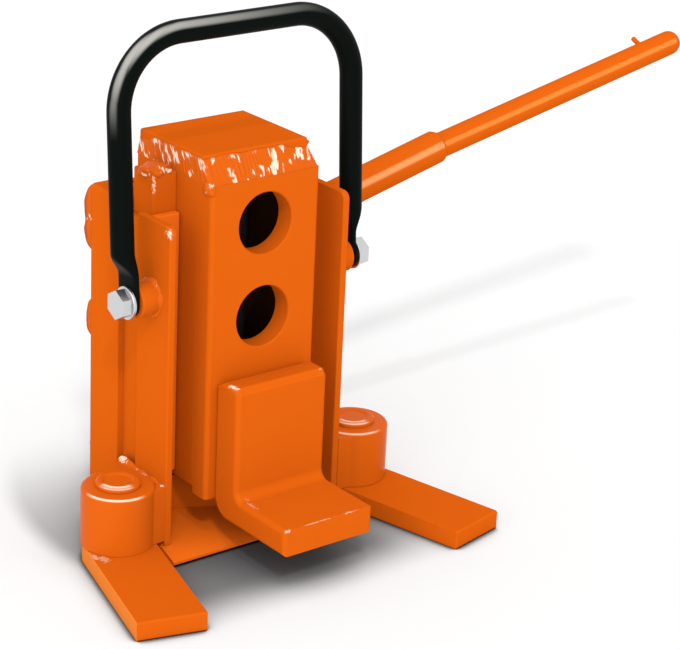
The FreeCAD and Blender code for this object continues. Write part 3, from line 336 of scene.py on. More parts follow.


# Painted highlights: strokes over the weld beads, spots on the saddle welds, toe, cheek, wing and foot, arcs
# on the pins and housing rims.
headBand = {"pitch": 230, "tall": 60, "lean": 0.55, "patch": 52, "start": 0.51, "cover": 0.46,
            "levels": (344, 370)}
weldBand = {"pitch": 300, "tall": 120, "lean": 0.0, "patch": 60, "start": 0.6, "cover": 0.55,
            "levels": (5, 340)}
saddleSpots = [((-101, -2, 75), (9, 13, 6), 1.0), ((-58, -73, 349), (5, 4, 2.5), 0.9),
               ((-60, -68, 343), (3, 3, 2), 0.8), ((-101, -67, 70), (5, 6, 4), 0.9),
               ((-101, -40, 71), (3, 6, 3), 0.5), ((-101, -26, 72), (3, 3, 3), 0.5)]
toeSpots = [((-48, -100, 168), (4, 8, 3), 1.0), ((0, -107, 167.8), (46, 1.0, 1.0), 0.35),
            ((44, -107, 168), (4, 2, 1.6), 0.7), ((-41, -106, 61), (5, 14, 3), 0.25),
            ((-43, -126, 61), (3, 12, 3), 0.3), ((-47, -183, 60), (5, 2.5, 2.5), 0.6),
            ((-14, -184, 61), (22, 1.1, 1.1), 0.35), ((22, -184, 61), (10, 2, 1.5), 0.4)]
cheekSpots = [((-97.5, -68, 311), (3, 6, 5), 1.0)]
wingSpots = [((-84, -22, 340), (3, 3, 14), 0.7)]
footSpots = [((-169, -62, 18), (4, 10, 3), 0.4), ((-164, -72, 18), (6, 9, 3), 0.3)]
pinArcs = [((-134, -47, 78.8), 15.5, 4.5, 1.0), ((-134, -47, 77.8), 19.6, 1.6, 0.5),
           ((134, -47, 77.8), 19.6, 1.8, 0.6), ((134, -47, 78.8), 15.5, 3.5, 0.7)]
rimArcs = [((-134, -47, 73.0), 32.4, 2.2, 0.85), ((134, -47, 73.0), 32.4, 2.0, 0.6)]
# Painted sheens on the lever socket, lever tube and bail.
leverAim = (-0.063, -0.905, 0.42)
socketSheen = {"aims": [leverAim], "range": (0.955, 1.0), "power": 1.6, "tone": (0.93, 0.33, 0.11)}
tubeSheen = {"aims": [leverAim], "range": (0.955, 1.0), "power": 1.6, "tone": (0.88, 0.235, 0.04)}
bailSheen = {"aims": [(0, -0.692, 0.722), (-0.35, -0.62, 0.70), (-0.639, -0.431, 0.638),
                      (-0.80, -0.46, 0.38), (-0.887, -0.462, 0)],
             "range": (0.88, 1.0), "power": 1.6, "tone": (0.40, 0.39, 0.36),
             "alongX": (-0.09, 0.1), "height": (0.39, 0.462)}
finishes = {
    "orange_paint": makeEnamel("orangeEnamel"),
    # painted highlights: light spots on the toe, cheek, wing and foot
    "orange_toe": makeEnamel("orangeToe", spots=toeSpots),
    "orange_cheek": makeEnamel("orangeCheek", spots=cheekSpots),
    "orange_wing": makeEnamel("orangeWing", spots=wingSpots),
    "orange_foot": makeEnamel("orangeFoot", spots=footSpots),
    # painted light: a lighter copy for the left foot's left-looking side
    "orange_lit_side": makeEnamel("orangeLitSide", tone=(0.84, 0.225, 0.035), shade=(0.8, 0.2, 0.028), wave=0.1),
    # painted light: a lighter copy for the guide bars and base plate, which stand in shade
    "orange_lightened": makeEnamel("orangeLightened", tone=(0.96, 0.17, 0.01), shade=(0.93, 0.155, 0.009)),
    # painted highlights on the head weld, weld beads, saddle welds, pins and housing rims
    "orange_head": makeEnamel("orangeHead", headBand, gloss=0.15, wave=0.25, specular=0.03),
    "orange_bead": makeEnamel("orangeBead", weldBand, gloss=0.12, wave=0.25, specular=0.05),
    "orange_saddle": makeEnamel("orangeSaddle", spots=saddleSpots, gloss=0.12, wave=0.25, specular=0.03),
    "orange_pin": makeEnamel("orangePin", arcs=pinArcs, gloss=0.1, specular=0.03),
    "orange_rim": makeEnamel("orangeRim", arcs=rimArcs, gloss=0.1, specular=0.03),
    # painted sheens on the lever socket, rocker and lever tube
    "orange_lever": makeEnamel("orangeLever", sheen=socketSheen, gloss=0.2, wave=0.05),
    "orange_tube": makeEnamel("orangeTube", sheen=tubeSheen, gloss=0.2, wave=0.05),
    # painted shade: a dark copy for the inside of the channel's right wall
    "painted_shade_inside": makeEnamel("paintedShadeInside", tone=(0.06, 0.02, 0.006), shade=(0.04, 0.014, 0.005),
                              gloss=0.5),
    # painted sheen on the bail's black paint
    "black_paint": makeEnamel("blackEnamel", sheen=bailSheen, tone=(0.003, 0.005, 0.004),
                              shade=(0.0025, 0.004, 0.0035), wave=0.05, specular=0.02),
    "blackened_steel": makeEnamel("blackenedSteel", tone=(0.028, 0.028, 0.03), shade=(0.016, 0.016, 0.017),
                                  gloss=0.35, wave=0.1, grain=0.1, specular=0.4),
    "zinc_plate": makeMetal("zincPlate", (0.62, 0.63, 0.64), 0.3, (1, 1, 1), 0.02),
    "ground_steel": makeMetal("groundSteel", (0.7, 0.71, 0.72), 0.16, (1, 1, 12), 0.1),
}
print("finishes made:", len(finishes))


# Painted copies of the solids: merged, flat faces joined, hard edges rounded by the paint.
def boxMm(node):
    low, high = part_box(node)
    return np.array(low) / mm, np.array(high) / mm


def cutAcross(shape, axis, place, **options):
    # a cut at right angles to the axis, through everything
    parts = shape.verts[:] + shape.edges[:] + shape.faces[:]
    along = np.eye(3)[axis]
    return bmesh.ops.bisect_plane(shape, geom=parts, dist=1e-7, plane_co=along * place * mm,
                                  plane_no=along, **options)


def cutBelow(shape, level):
    # what lies under the level goes, and the opening is closed
    cut = cutAcross(shape, 2, level, clear_inner=True)
    rim = [item for item in cut["geom_cut"] if isinstance(item, bmesh.types.BMEdge)]
    bmesh.ops.holes_fill(shape, edges=rim, sides=0)


def roundFront(shape, low, high, radius):
    # upright front corners: cut in eight strips, then laid on a larger quarter circle
    for turn in np.linspace(0, math.pi / 2, 8, endpoint=False):
        for side in (-1, 1):
            cutAcross(shape, 0, side * (high[0] - radius * (1 - math.sin(turn))))
    for vert in shape.verts:
        beyond = abs(vert.co.x) / mm - (high[0] - radius)
        if beyond > 0:
            edge = low[1] + radius - math.sqrt(max(radius ** 2 - beyond ** 2, 0))
            vert.co.y = max(vert.co.y, edge * mm)
    bmesh.ops.remove_doubles(shape, verts=shape.verts, dist=2e-5)


def sharpenCorner(shape, low, high, before, after):
    # the rounded top front corner of a cheek, from one radius to a smaller one
    middle = np.array([low[1] + before, high[2] - before])
    target = np.array([low[1] + after, high[2] - after])
    for vert in shape.verts:
        place = np.array([vert.co.y, vert.co.z]) / mm
        if place[0] < middle[0] + 0.01 and place[1] > middle[1] - 0.01:
            moved = target + (place - middle) * after / before
            vert.co.y, vert.co.z = moved * mm


def shiftPoints(shape, axis, lowest, highest, step):
    for vert in shape.verts:
        if lowest * mm < vert.co[axis] < highest * mm:
            vert.co[axis] += step * mm


def narrowRear(shape, start, half):
    # behind the posts the base plate is no wider than the block that stands on it
    for y in (start, start + 0.05):
        cutAcross(shape, 1, y)
    for vert in shape.verts:
        if vert.co.y > (start + 0.03) * mm:
            vert.co.x = min(max(vert.co.x, -half * mm), half * mm)
    bmesh.ops.remove_doubles(shape, verts=shape.verts, dist=2e-6)


reshapeValues = {"channelFoot": 57, "frontCorner": 4.5, "rearHalf": 58, "rearStart": 59, "barBack": 25,
                 "saddle": (50, 66), "saddleTop": 71.5, "cheekCorner": (15, 8), "postRise": 5}


def reshape(shape, node):
    low, high = boxMm(node)
    if node == "base_plate":
        narrowRear(shape, reshapeValues["rearStart"], reshapeValues["rearHalf"])
    elif node.startswith("pivot_housing"):
        lowest, highest = reshapeValues["saddle"]
        for vert in shape.verts:
            if lowest < vert.co.z / mm < highest:
                vert.co.z = reshapeValues["saddleTop"] * mm
    elif node in ("box_channel", "wing_left", "wing_right"):
        cutBelow(shape, reshapeValues["channelFoot"])
    elif node == "box_front":
        roundFront(shape, low, high, reshapeValues["frontCorner"])
    elif node.startswith("cheek"):
        sharpenCorner(shape, low, high, *reshapeValues["cheekCorner"])
    elif node.startswith("guide_bar"):
        shiftPoints(shape, 1, low[1] - 1, low[1] + 4, reshapeValues["barBack"])
    elif node.startswith("post") or node == "rear_web":
        shiftPoints(shape, 2, high[2] - 10, high[2] + 1, reshapeValues["postRise"])


def finishMesh(mesh, node, width, limit):
    shape = bmesh.new()
    shape.from_mesh(mesh)
    bmesh.ops.remove_doubles(shape, verts=shape.verts, dist=2e-6)
    bmesh.ops.dissolve_limit(shape, angle_limit=math.radians(0.3), verts=shape.verts,
                             edges=shape.edges, delimit={"NORMAL"})
    reshape(shape, node)
    for face in shape.faces:
        face.smooth = True
    for edge in shape.edges:
        edge.smooth = width > 0 or len(edge.link_faces) < 2 or edge.calc_face_angle(0) < limit
    shape.to_mesh(mesh)
    shape.free()


hardAngle = 32


def paintNode(node, width):
    mesh = bpy.data.meshes.new("painted_" + node)
    source = bmesh.new()
    source.from_mesh(nodes[node].data)
    source.to_mesh(mesh)
    source.free()
    limit = math.radians(hardAngle)
    finishMesh(mesh, node, width, limit)
    piece = bpy.data.objects.new("painted_" + node, mesh)
    scene.collection.objects.link(piece)
    if width > 0:
        bevel = piece.modifiers.new("softEdges", "BEVEL")
        bevel.width = width * mm
        bevel.segments = 3
        bevel.limit_method = "ANGLE"
        bevel.angle_limit = limit
        bevel.miter_outer = "MITER_ARC"
        bevel.use_clamp_overlap = True
        weighted = piece.modifiers.new("flatFaces", "WEIGHTED_NORMAL")
        weighted.keep_sharp = False
        weighted.weight = 60
    mesh.materials.append(finishes[finishOfNode.get(node, slotOfNode[node])])
    if node in sidePaintedLightAndShade:
        # faces that look left: painted light on a foot's side, painted shade inside the channel's right wall
        mesh.materials.append(finishes[sidePaintedLightAndShade[node]])
        for face in mesh.polygons:
            shown = node == "foot_left" or face.center.x > 0
            face.material_index = 1 if face.normal.x < -0.7 and shown else 0
    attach(piece, bodyOfNode[node])
    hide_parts(node)


# painted light on the left foot's side, painted shade inside the channel's right wall
sidePaintedLightAndShade = {"foot_left": "orange_lit_side", "box_channel": "painted_shade_inside"}
# guide bars and base plate get the lighter copy as painted light; the rest get painted highlights or a
# painted sheen
finishOfNode = {
    "guide_bar_left": "orange_lightened", "guide_bar_right": "orange_lightened", "base_plate": "orange_lightened",
    "foot_pin_left": "orange_pin", "foot_pin_right": "orange_pin", "pivot_housing_left": "orange_rim",
    "pivot_housing_right": "orange_rim", "toe_claw": "orange_toe", "cheek_left": "orange_cheek",
    "wing_left": "orange_wing", "foot_left": "orange_foot",
    "lever_socket": "orange_lever", "rocker": "orange_lever",
}
edgeRounds = {
    "base_plate": 1.0, "cheek_left": 1.3, "cheek_right": 1.3, "guide_bar_left": 1.0, "guide_bar_right": 1.0,
    "liner_left": 0.5, "liner_right": 0.5, "post_left": 1.2, "post_right": 1.2, "rear_web": 0.8,
    "bail_boss_left": 0.6, "bail_boss_right": 0.6, "pivot_housing_left": 1.1, "pivot_housing_right": 1.1,
    "foot_pin_left": 0.8, "foot_pin_right": 0.8, "foot_left": 1.3, "foot_right": 1.3,
    "box_front": 0.6, "box_channel": 0.6, "wing_left": 1.0, "wing_right": 1.0, "head_plate": 0.8,
    "toe_claw": 0.8, "toe_stud": 0.8, "ram_block": 0.8, "lever_bracket": 0.8, "rocker": 0.6,
    "lever_socket": 0.5, "bail_bolts": 0.5, "bail_washers": 0.3, "fulcrum_pin": 0.3, "pump_cylinder": 0.4,
    "valve_plugs": 0.4, "filler_plug": 0.4, "release_valve": 0.5, "ram_gland": 0.4, "pump_pin": 0.2,
    "pump_plunger": 0.2,
}
for node, width in edgeRounds.items():
    paintNode(node, width)
drawnNodes = ("bail_tube", "lever_tube", "lever_cross_pin", "head_bead")
for node, piece in nodes.items():
    if node not in edgeRounds and node not in drawnNodes:
        piece.data.materials.clear()
        piece.data.materials.append(finishes[slotOfNode[node]])
print("painted copies:", len(edgeRounds))


# Weld beads.
def addPiece(name, points, faces, body, slotName, finish=None):
    mesh = bpy.data.meshes.new(name)
    mesh.from_pydata(points.tolist(), [], faces)
    shape = bmesh.new()
    shape.from_mesh(mesh)
    bmesh.ops.recalc_face_normals(shape, faces=shape.faces)
    for face in shape.faces:
        face.smooth = True
    shape.to_mesh(mesh)
    shape.free()
    mesh.materials.append(finishes[finish or slotName])
    piece = bpy.data.objects.new(name, mesh)
    scene.collection.objects.link(piece)
    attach(piece, body)
    return piece


def ringFaces(loops, closedPath):
    # every row of loops is a closed ring of points; open paths get a face on each end
    rows, columns = loops.shape[:2]
    index = np.arange(rows * columns).reshape(rows, columns)
    lower = index if closedPath else index[:-1]
    upper = np.roll(index, -1, 0) if closedPath else index[1:]
    quads = np.stack([lower, np.roll(lower, -1, 1), np.roll(upper, -1, 1), upper], -1)
    faces = quads.reshape(-1, 4).tolist()
    if not closedPath:
        faces += [index[0].tolist(), index[-1].tolist()]
    return faces


def waver(place, pitch, seed):
    # a smooth random line: a random height every pitch, joined by half cosines
    knots = np.random.default_rng(seed).uniform(-1, 1, int(place.max() / pitch) + 3)
    low = np.floor(place / pitch).astype(int)
    share = (1 - np.cos(np.pi * (place / pitch - low))) / 2
    return knots[low] * (1 - share) + knots[low + 1] * share


def alongPath(corners, step, closed):
    # even steps along straight runs between the corner points
    corners = np.array(corners, float)
    if closed:
        corners = np.vstack([corners, corners[:1]])
    runs = np.linalg.norm(np.diff(corners, axis=0), axis=1)
    total = runs.sum()
    count = max(int(total / step), 8)
    place = np.linspace(0, total, count, endpoint=not closed)
    marks = np.concatenate([[0], np.cumsum(runs)])
    return np.stack([np.interp(place, marks, corners[:, k]) for k in range(3)], -1), place, total


beadValues = {"leg": 6.0, "crown": 0.55, "pitch": 3.2, "ripple": 0.45, "uneven": 0.16, "step": 0.55,
              "columns": 11, "lag": 1.3, "taper": 0.9, "overlap": 0.12, "root": 0.6,
              "legWave": 9, "crownWave": 7, "crownSpan": 0.15, "stray": 1.2, "strayWave": 6,
              "trough": 0.6, "least": 0.04}


def weldBead(name, body, corners, sideA, sideB, seed, closed=False, finish="orange_bead", **changes):
    # A fillet weld: across, it runs from leg * sideA to leg * sideB, between the chord and the quarter
    # circle about the joint; along, it is a row of crescents, each a half sine, that lag in the middle.
    values = {**beadValues, **changes}
    path, place, total = alongPath(corners, values["step"], closed)
    sideA = np.array(sideA, float)
    if sideA.ndim == 2:
        sideA = np.stack([np.interp(place, np.linspace(0, total, len(sideA), endpoint=False), sideA[:, k])
                          for k in range(3)], -1)
    sideA = np.broadcast_to(sideA, path.shape)
    sideB = np.broadcast_to(np.array(sideB, float), path.shape)
    leg = values["leg"] * (1 + values["uneven"] * waver(place, values["legWave"], seed))
    if not closed:
        near = np.minimum(place, total - place) / (values["leg"] * values["taper"])
        leg = leg * np.sqrt(np.clip(1 - (1 - np.clip(near, values["least"], 1)) ** 2, 0, 1))
    angle = np.linspace(-values["overlap"], math.pi / 2 + values["overlap"], values["columns"])
    across = np.linspace(0, 1, values["columns"])
    chord = (1 - across)[None, :, None] * sideA[:, None] + across[None, :, None] * sideB[:, None]
    arc = np.cos(angle)[None, :, None] * sideA[:, None] + np.sin(angle)[None, :, None] * sideB[:, None]
    crown = values["crown"] + values["crownSpan"] * waver(place, values["crownWave"], seed + 1)[:, None, None]
    surface = path[:, None] + leg[:, None, None] * ((1 - crown) * chord + crown * arc)
    out = sideA + sideB
    out = out / np.linalg.norm(out, axis=1)[:, None]
    hump = np.sin(math.pi * np.clip(across, 0, 1))
    strayed = place + values["stray"] * waver(place, values["strayWave"], seed + 2)
    phase = strayed[:, None] / values["pitch"] - values["lag"] * hump[None] / 2
    crescent = np.abs(np.sin(math.pi * phase)) - values["trough"]
    surface += (values["ripple"] * crescent * np.sqrt(hump)[None])[:, :, None] * out[:, None]
    inside = path - out * values["root"]
    loops = np.concatenate([surface, inside[:, None]], 1)
    return addPiece(name, loops.reshape(-1, 3) * mm, ringFaces(loops, closed), body, "orange_paint", finish)


headValues = {"step": 0.5, "columns": 26, "pitch": 5.0, "pitchSpan": 2.2, "ridge": 0.7, "slant": 1.6,
              "bulge": 0.4, "rise": 14.5, "climb": 6.5, "riseWave": 11, "lip": (0.6, 0.5), "lipWave": 8,
              "lipPower": 4, "hollow": 1.6, "flank": 18, "leastLean": 0.15, "outward": (1.2, 0.5),
              "humpPower": 0.7, "pitchWave": 17, "slantWave": 21, "slantShift": 0.3, "crest": 0.72,
              "fine": 0.1, "finePitch": 1.9, "fineSlant": 5, "fineStray": 3, "fineWave": 5,
              "patch": (0.75, 0.9), "patchWave": 9, "patchRange": (0.15, 1.4),
              "cornerReach": (8, 26), "root": (3, 2)}
headSeeds = {"rise": 3, "lip": 4, "pitch": 5, "patch": 6, "slant": 8, "fine": 9}


def aroundHead():
    # The rim of the box and the side of the plate, as two closed paths of as many points; the rim's front
    # corners are round. Then the way outward, the place along the rim, how far the front right or rear left
    # corner is, and the rim's height.
    values = headValues
    plateLow, plateHigh = boxMm("head_plate")
    boxLow, boxHigh = boxMm("box_channel")
    front = boxMm("box_front")[0][1]
    outer = [(boxLow[0], front), (boxHigh[0], front), (boxHigh[0], boxHigh[1]), (boxLow[0], boxHigh[1])]
    inner = [(plateLow[0], plateLow[1]), (plateHigh[0], plateLow[1]),
             (plateHigh[0], plateHigh[1]), (plateLow[0], plateHigh[1])]
    rim, place, _ = alongPath([(*p, 0) for p in outer], values["step"], True)
    rim = rim[:, :2]
    marks = np.cumsum([0] + [np.hypot(*(np.array(outer[(k + 1) % 4]) - outer[k])) for k in range(4)])
    cut = reshapeValues["frontCorner"]
    beyond = np.clip(np.abs(rim[:, 0]) - (boxHigh[0] - cut), 0, cut)
    rim[:, 1] = np.maximum(rim[:, 1], front + cut - np.sqrt(cut ** 2 - beyond ** 2))
    closed = inner + inner[:1]
    plate = np.stack([np.interp(place, marks, [p[k] for p in closed]) for k in range(2)], -1)
    middle = rim - np.array([0, (front + boxHigh[1]) / 2])
    wide, deep = boxHigh[0] - boxLow[0], boxHigh[1] - front
    sideways = np.abs(middle[:, :1]) * deep > np.abs(middle[:, 1:]) * wide
    outward = np.where(sideways, np.sign(middle) * [1, 0], np.sign(middle) * [0, 1])
    far = np.minimum(np.hypot(*(rim - outer[1]).T), np.hypot(*(rim - outer[3]).T))
    return rim, plate, outward, place, far, boxHigh[2]


def makeHeadWeld():
    # The bead round the head plate: across, from the rim of the box to the side of the plate; along,
    # slanted ridges whose pitch and height wander. A ridge is a rounded saw, lifted off the slope.
    values, seeds = headValues, headSeeds
    rim, plate, outward, place, far, level = aroundHead()
    slope = np.hypot(*(plate - rim).T)
    start, reach = values["cornerReach"]
    rise = (values["rise"] + waver(place, values["riseWave"], seeds["rise"])
            + values["climb"] * np.clip((far - start) / reach, 0, 1))
    across = np.linspace(0, 1, values["columns"])
    lip = values["lip"][0] + values["lip"][1] * waver(place, values["lipWave"], seeds["lip"])
    flat = rim[:, None] + (plate - rim)[:, None] * across[None, :, None]
    drop = lip[:, None] * (1 - across) ** values["lipPower"]
    height = level - drop + rise[:, None] * across ** values["hollow"]
    surface = np.concatenate([flat, height[:, :, None]], 2)
    lean = np.clip(slope / values["flank"], values["leastLean"], 1)[:, None]
    push, ease = values["outward"]
    normal = np.concatenate([outward * (push - lean * ease), lean], 1)
    normal /= np.linalg.norm(normal, axis=1)[:, None]
    hump = np.sin(math.pi * across) ** values["humpPower"]
    pitch = values["pitch"] + values["pitchSpan"] * waver(place, values["pitchWave"], seeds["pitch"])
    slant = values["slant"] * (waver(place, values["slantWave"], seeds["slant"]) - values["slantShift"])
    phase = np.cumsum(values["step"] / pitch)[:, None] + slant[:, None] * (across[None] - 0.5)
    saw = phase - np.floor(phase)
    ridge = np.minimum(saw / values["crest"], (1 - saw) / (1 - values["crest"]))
    ridge = ridge * ridge * (3 - 2 * ridge)
    turns = (place / values["finePitch"])[:, None]
    stray = values["fineStray"] * waver(place, values["fineWave"], seeds["fine"])[:, None]
    fine = np.sin(2 * math.pi * turns + values["fineSlant"] * across[None] + stray)
    usual, span = values["patch"]
    patch = usual + span * waver(place, values["patchWave"], seeds["patch"])
    patch = np.clip(patch, *values["patchRange"])[:, None]
    lift = hump[None] * (values["bulge"] * lean + values["ridge"] * patch * ridge + values["fine"] * fine)
    surface += lift[:, :, None] * normal[:, None]
    under, below = values["root"]
    inside = np.concatenate([plate - outward * under, np.full((len(place), 1), level - below)], 1)
    loops = np.concatenate([surface, inside[:, None]], 1)
    piece = addPiece("weld_head", loops.reshape(-1, 3) * mm, ringFaces(loops, True), "box",
                     "orange_paint", "orange_head")
    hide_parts("head_bead")


dropValues = {"rows": 26, "columns": 40, "pole": 0.02, "waves": 6, "busy": 3.2, "rough": 0.055}


def blob(name, body, centre, radii, seed, finish):
    # a drop of weld metal: a sphere squashed to its radii, its skin moved by waves of random directions
    values = dropValues
    lift = np.linspace(-math.pi / 2 + values["pole"], math.pi / 2 - values["pole"], values["rows"])
    turn = np.linspace(0, 2 * math.pi, values["columns"], endpoint=False)
    flat = np.cos(lift)[:, None]
    unit = np.stack([flat * np.cos(turn), flat * np.sin(turn), np.sin(lift)[:, None] + 0 * turn], -1)
    waves = np.random.default_rng(seed).normal(0, 1, (values["waves"], 3)) * values["busy"]
    skin = 1 + values["rough"] * sum(np.sin(unit @ wave + index) for index, wave in enumerate(waves))
    loops = np.array(centre) + unit * np.array(radii) * skin[..., None]
    return addPiece(name, loops.reshape(-1, 3) * mm, ringFaces(loops, False), body, "orange_paint", finish)


weldValues = {
    "saddleLeg": 4.5, "saddleFrom": 1, "saddleDrop": 3, "saddleEnd": 4, "saddleDepth": 0.5,
    "footLeg": 3, "footFrom": 3, "footShort": 8,
    "postRuns": ((258, 319, 7.5), (174, 209, 5.5)), "postInset": 4, "postSide": (0.5, 0.87),
    "bossPlace": (-43.5, 245), "bossRing": 14.8, "bossLeg": 3.6,
    "wingDrop": ((75, -12, 350), (14, 14, 6)), "cornerDrop": ((-57.5, -69, 345), (4, 8, 6)),
}


def makeFrameWelds():
    values = weldValues
    cheekLow, cheekHigh = boxMm("cheek_right")
    postHigh = boxMm("post_right")[1]
    plateTop = boxMm("base_plate")[1][2]
    saddleTop = reshapeValues["saddleTop"] - values["saddleDepth"]
    turn = np.linspace(0, 2 * math.pi, 130, endpoint=False)
    ring = np.stack([0 * turn, np.cos(turn), np.sin(turn)], -1)
    for name, side in (("left", -1), ("right", 1)):
        x = side * cheekHigh[0]
        out = (side, 0, 0)
        saddle = [(x, cheekLow[1] + values["saddleFrom"], saddleTop - values["saddleDrop"]),
                  (x, values["saddleEnd"], saddleTop)]
        weldBead("weld_saddle_" + name, "frame", saddle, (0, 0, 1), out, 11 + side,
                 finish="orange_saddle", leg=values["saddleLeg"], uneven=0.4)
        foot = [(x, cheekLow[1] + values["footFrom"], plateTop),
                (x, postHigh[1] - values["footShort"], plateTop)]
        weldBead("weld_cheek_foot_" + name, "frame", foot, (0, 0, 1), out, 31 + side, leg=values["footLeg"])
        postX = side * (postHigh[0] - values["postInset"])
        sideX, sideY = values["postSide"]
        for index, (low, high, leg) in enumerate(values["postRuns"]):
            seam = [(postX, postHigh[1], low), (postX, postHigh[1], high)]
            weldBead(f"weld_post_{name}_{index}", "frame", seam,
                     (-side, 0, 0), (side * sideX, sideY, 0), 41 + side + index * 7,
                     leg=leg, ripple=0.12, uneven=0.1, taper=2.6)
        path = np.array([x, *values["bossPlace"]]) + values["bossRing"] * ring
        weldBead("weld_boss_" + name, "frame", path, ring, out, 51 + side, closed=True,
                 leg=values["bossLeg"], uneven=0.5)
        (dropX, *drop), radii = values["wingDrop"]
        blob("drop_wing_" + name, "box", (side * dropX, *drop), radii, 5 if side < 0 else 6, "orange_head")
    blob("drop_box_corner", "box", *values["cornerDrop"], 8, "orange_saddle")


makeHeadWeld()
makeFrameWelds()
print("welds made")


# Bail, lever tube and its pin.
bailValues = {"halfWidth": 125.9, "height": 231.8, "bend": 64.0, "radius": 10.65, "lean": 3.7,
              "bolt": (-41.0, 245), "eyeMiddle": 120.1, "eyeHalf": 3.0, "eyeWidth": 14.0, "eyeSquare": 4.5,
              "flatTop": 22.0, "tubeStart": 45.0, "taperPower": 1.4, "around": 40,
              "eyeRows": (0.02, 14), "flatRows": (1, 50, 40), "legRows": (54, 24), "bendRows": (4, 90, 30),
              "gripRows": (6, 8)}


def bailLine():
    # Centre line of one half: the flat eye, up the leg, round the bend, along half the grip. Each point has
    # its x, its height over the bolt and the turn of the tube.
    values = bailValues
    top, bend, width = values["height"], values["bend"], values["halfWidth"]
    firstAngle, eyeCount = values["eyeRows"]
    eye = -values["eyeWidth"] * np.cos(np.linspace(firstAngle, math.pi / 2, eyeCount))
    legFrom, legCount = values["legRows"]
    leg = np.concatenate([eye, np.linspace(*values["flatRows"]), np.linspace(legFrom, top - bend, legCount)])
    turn = np.radians(np.linspace(*values["bendRows"]))
    gripFrom, gripCount = values["gripRows"]
    grip = np.linspace(width - bend - gripFrom, 0, gripCount)
    up = np.concatenate([leg, top - bend + bend * np.sin(turn), np.full(grip.size, top)])
    x = np.concatenate([np.full(leg.size, width), width - bend + bend * np.cos(turn), grip])
    tilt = np.concatenate([np.zeros(leg.size), turn, np.full(grip.size, math.pi / 2)])
    return x, up, tilt


def makeBailTube():
    # Across: superellipses whose axes and power go from eye to tube along a smooth step of height.
    values = bailValues
    x, up, tilt = bailLine()
    share = np.clip((up - values["flatTop"]) / (values["tubeStart"] - values["flatTop"]), 0, 1)
    share = share * share * (3 - 2 * share)
    eyeMiddle, eyeHalf, eyeWidth = (values[key] for key in ("eyeMiddle", "eyeHalf", "eyeWidth"))
    radius = values["radius"]
    x = np.where(share < 1, eyeMiddle + (values["halfWidth"] - eyeMiddle) * share, x)
    thick = eyeHalf + (radius - eyeHalf) * share
    deep = eyeWidth + (radius - eyeWidth) * share ** values["taperPower"]
    deep = np.where(up < 0, np.sqrt(np.clip(eyeWidth ** 2 - up ** 2, 0.2, None)), deep)
    power = (2 / (values["eyeSquare"] + (2 - values["eyeSquare"]) * share))[:, None]
    around = np.linspace(0, 2 * math.pi, values["around"], endpoint=False)
    wide = np.sign(np.cos(around)) * np.abs(np.cos(around)) ** power * thick[:, None]
    back = np.sign(np.sin(around)) * np.abs(np.sin(around)) ** power * deep[:, None]
    across = x[:, None] + wide * np.cos(tilt)[:, None]
    height = up[:, None] + wide * np.sin(tilt)[:, None]
    half = np.stack([across, back, height], -1)
    loops = np.concatenate([half, half[-2::-1] * np.array([-1, 1, 1])])
    lean = math.radians(values["lean"])
    y = values["bolt"][0] + loops[..., 1] * math.cos(lean) + loops[..., 2] * math.sin(lean)
    z = values["bolt"][1] + loops[..., 2] * math.cos(lean) - loops[..., 1] * math.sin(lean)
    points = np.stack([loops[..., 0], y, z], -1).reshape(-1, 3)
    piece = addPiece("bail_bar", points * mm, ringFaces(loops, False), "bail", "black_paint")
    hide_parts("bail_tube")


leverValues = {"start": (291.1, 272.2), "end": (667.9, 350.2), "plane": 83.0, "radius": 13.0, "round": 11.5,
               "pinFromEnd": 43.5, "pinRadius": 2.6, "pinReach": 11.0, "pinLift": 29.0, "pinEdge": 0.8,
               "pinRoot": 8, "mouth": 43.5, "mouthLeg": 2.6, "rows": (20, 5, 9), "roundRows": (0, 88, 12),
               "around": 48, "mouthAround": 120}


def turnedPiece(name, origin, axis, side, profile, body, slotName, finish=None):
    # profile: (distance along the axis, radius) pairs
    axis, side = np.array(axis, float), np.array(side, float)
    other = np.cross(axis, side)
    around = np.linspace(0, 2 * math.pi, leverValues["around"], endpoint=False)
    ring = np.cos(around)[:, None] * side + np.sin(around)[:, None] * other
    profile = np.array(profile)
    loops = np.array(origin) + profile[:, None, :1] * axis + profile[:, None, 1:] * ring
    return addPiece(name, loops.reshape(-1, 3) * mm, ringFaces(loops, False), body, slotName, finish)


def makeLever():
    values = leverValues
    start, end = (np.array([values[key][0], values["plane"], values[key][1]]) for key in ("start", "end"))
    length = np.linalg.norm(end - start)
    axis = (end - start) / length
    side = np.array([0.0, 1, 0])
    upward = np.cross(axis, side)
    radius, curve = values["radius"], values["round"]
    turn = np.radians(np.linspace(*values["roundRows"]))
    begin, stop, count = values["rows"]
    profile = [(0, radius), *[(t, radius) for t in np.linspace(begin, length - curve - stop, count)],
               *zip(length - curve + curve * np.sin(turn), radius - curve + curve * np.cos(turn))]
    tube = turnedPiece("lever_bar", start, axis, side, profile, "lever", "orange_paint", "orange_tube")
    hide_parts("lever_tube")
    turn = np.linspace(0, 2 * math.pi, values["mouthAround"], endpoint=False)
    ring = np.cos(turn)[:, None] * side + np.sin(turn)[:, None] * np.cross(axis, side)
    weldBead("weld_mouth", "lever", start + axis * values["mouth"] + radius * ring, ring, axis, 71,
             closed=True, finish="orange_lever", leg=values["mouthLeg"], uneven=0.35, ripple=0.25)
    lift = math.radians(values["pinLift"])
    aim = side * math.cos(lift) + upward * math.sin(lift)
    tip = radius + values["pinReach"]
    thick, edge = values["pinRadius"], values["pinEdge"]
    pin = turnedPiece("lever_pin", end - axis * values["pinFromEnd"], aim, axis,
                      [(values["pinRoot"], thick), (tip - edge, thick), (tip, thick - edge)],
                      "lever", slotOfNode["lever_cross_pin"])
    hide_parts("lever_cross_pin")


makeBailTube()
makeLever()
print("bail and lever made")


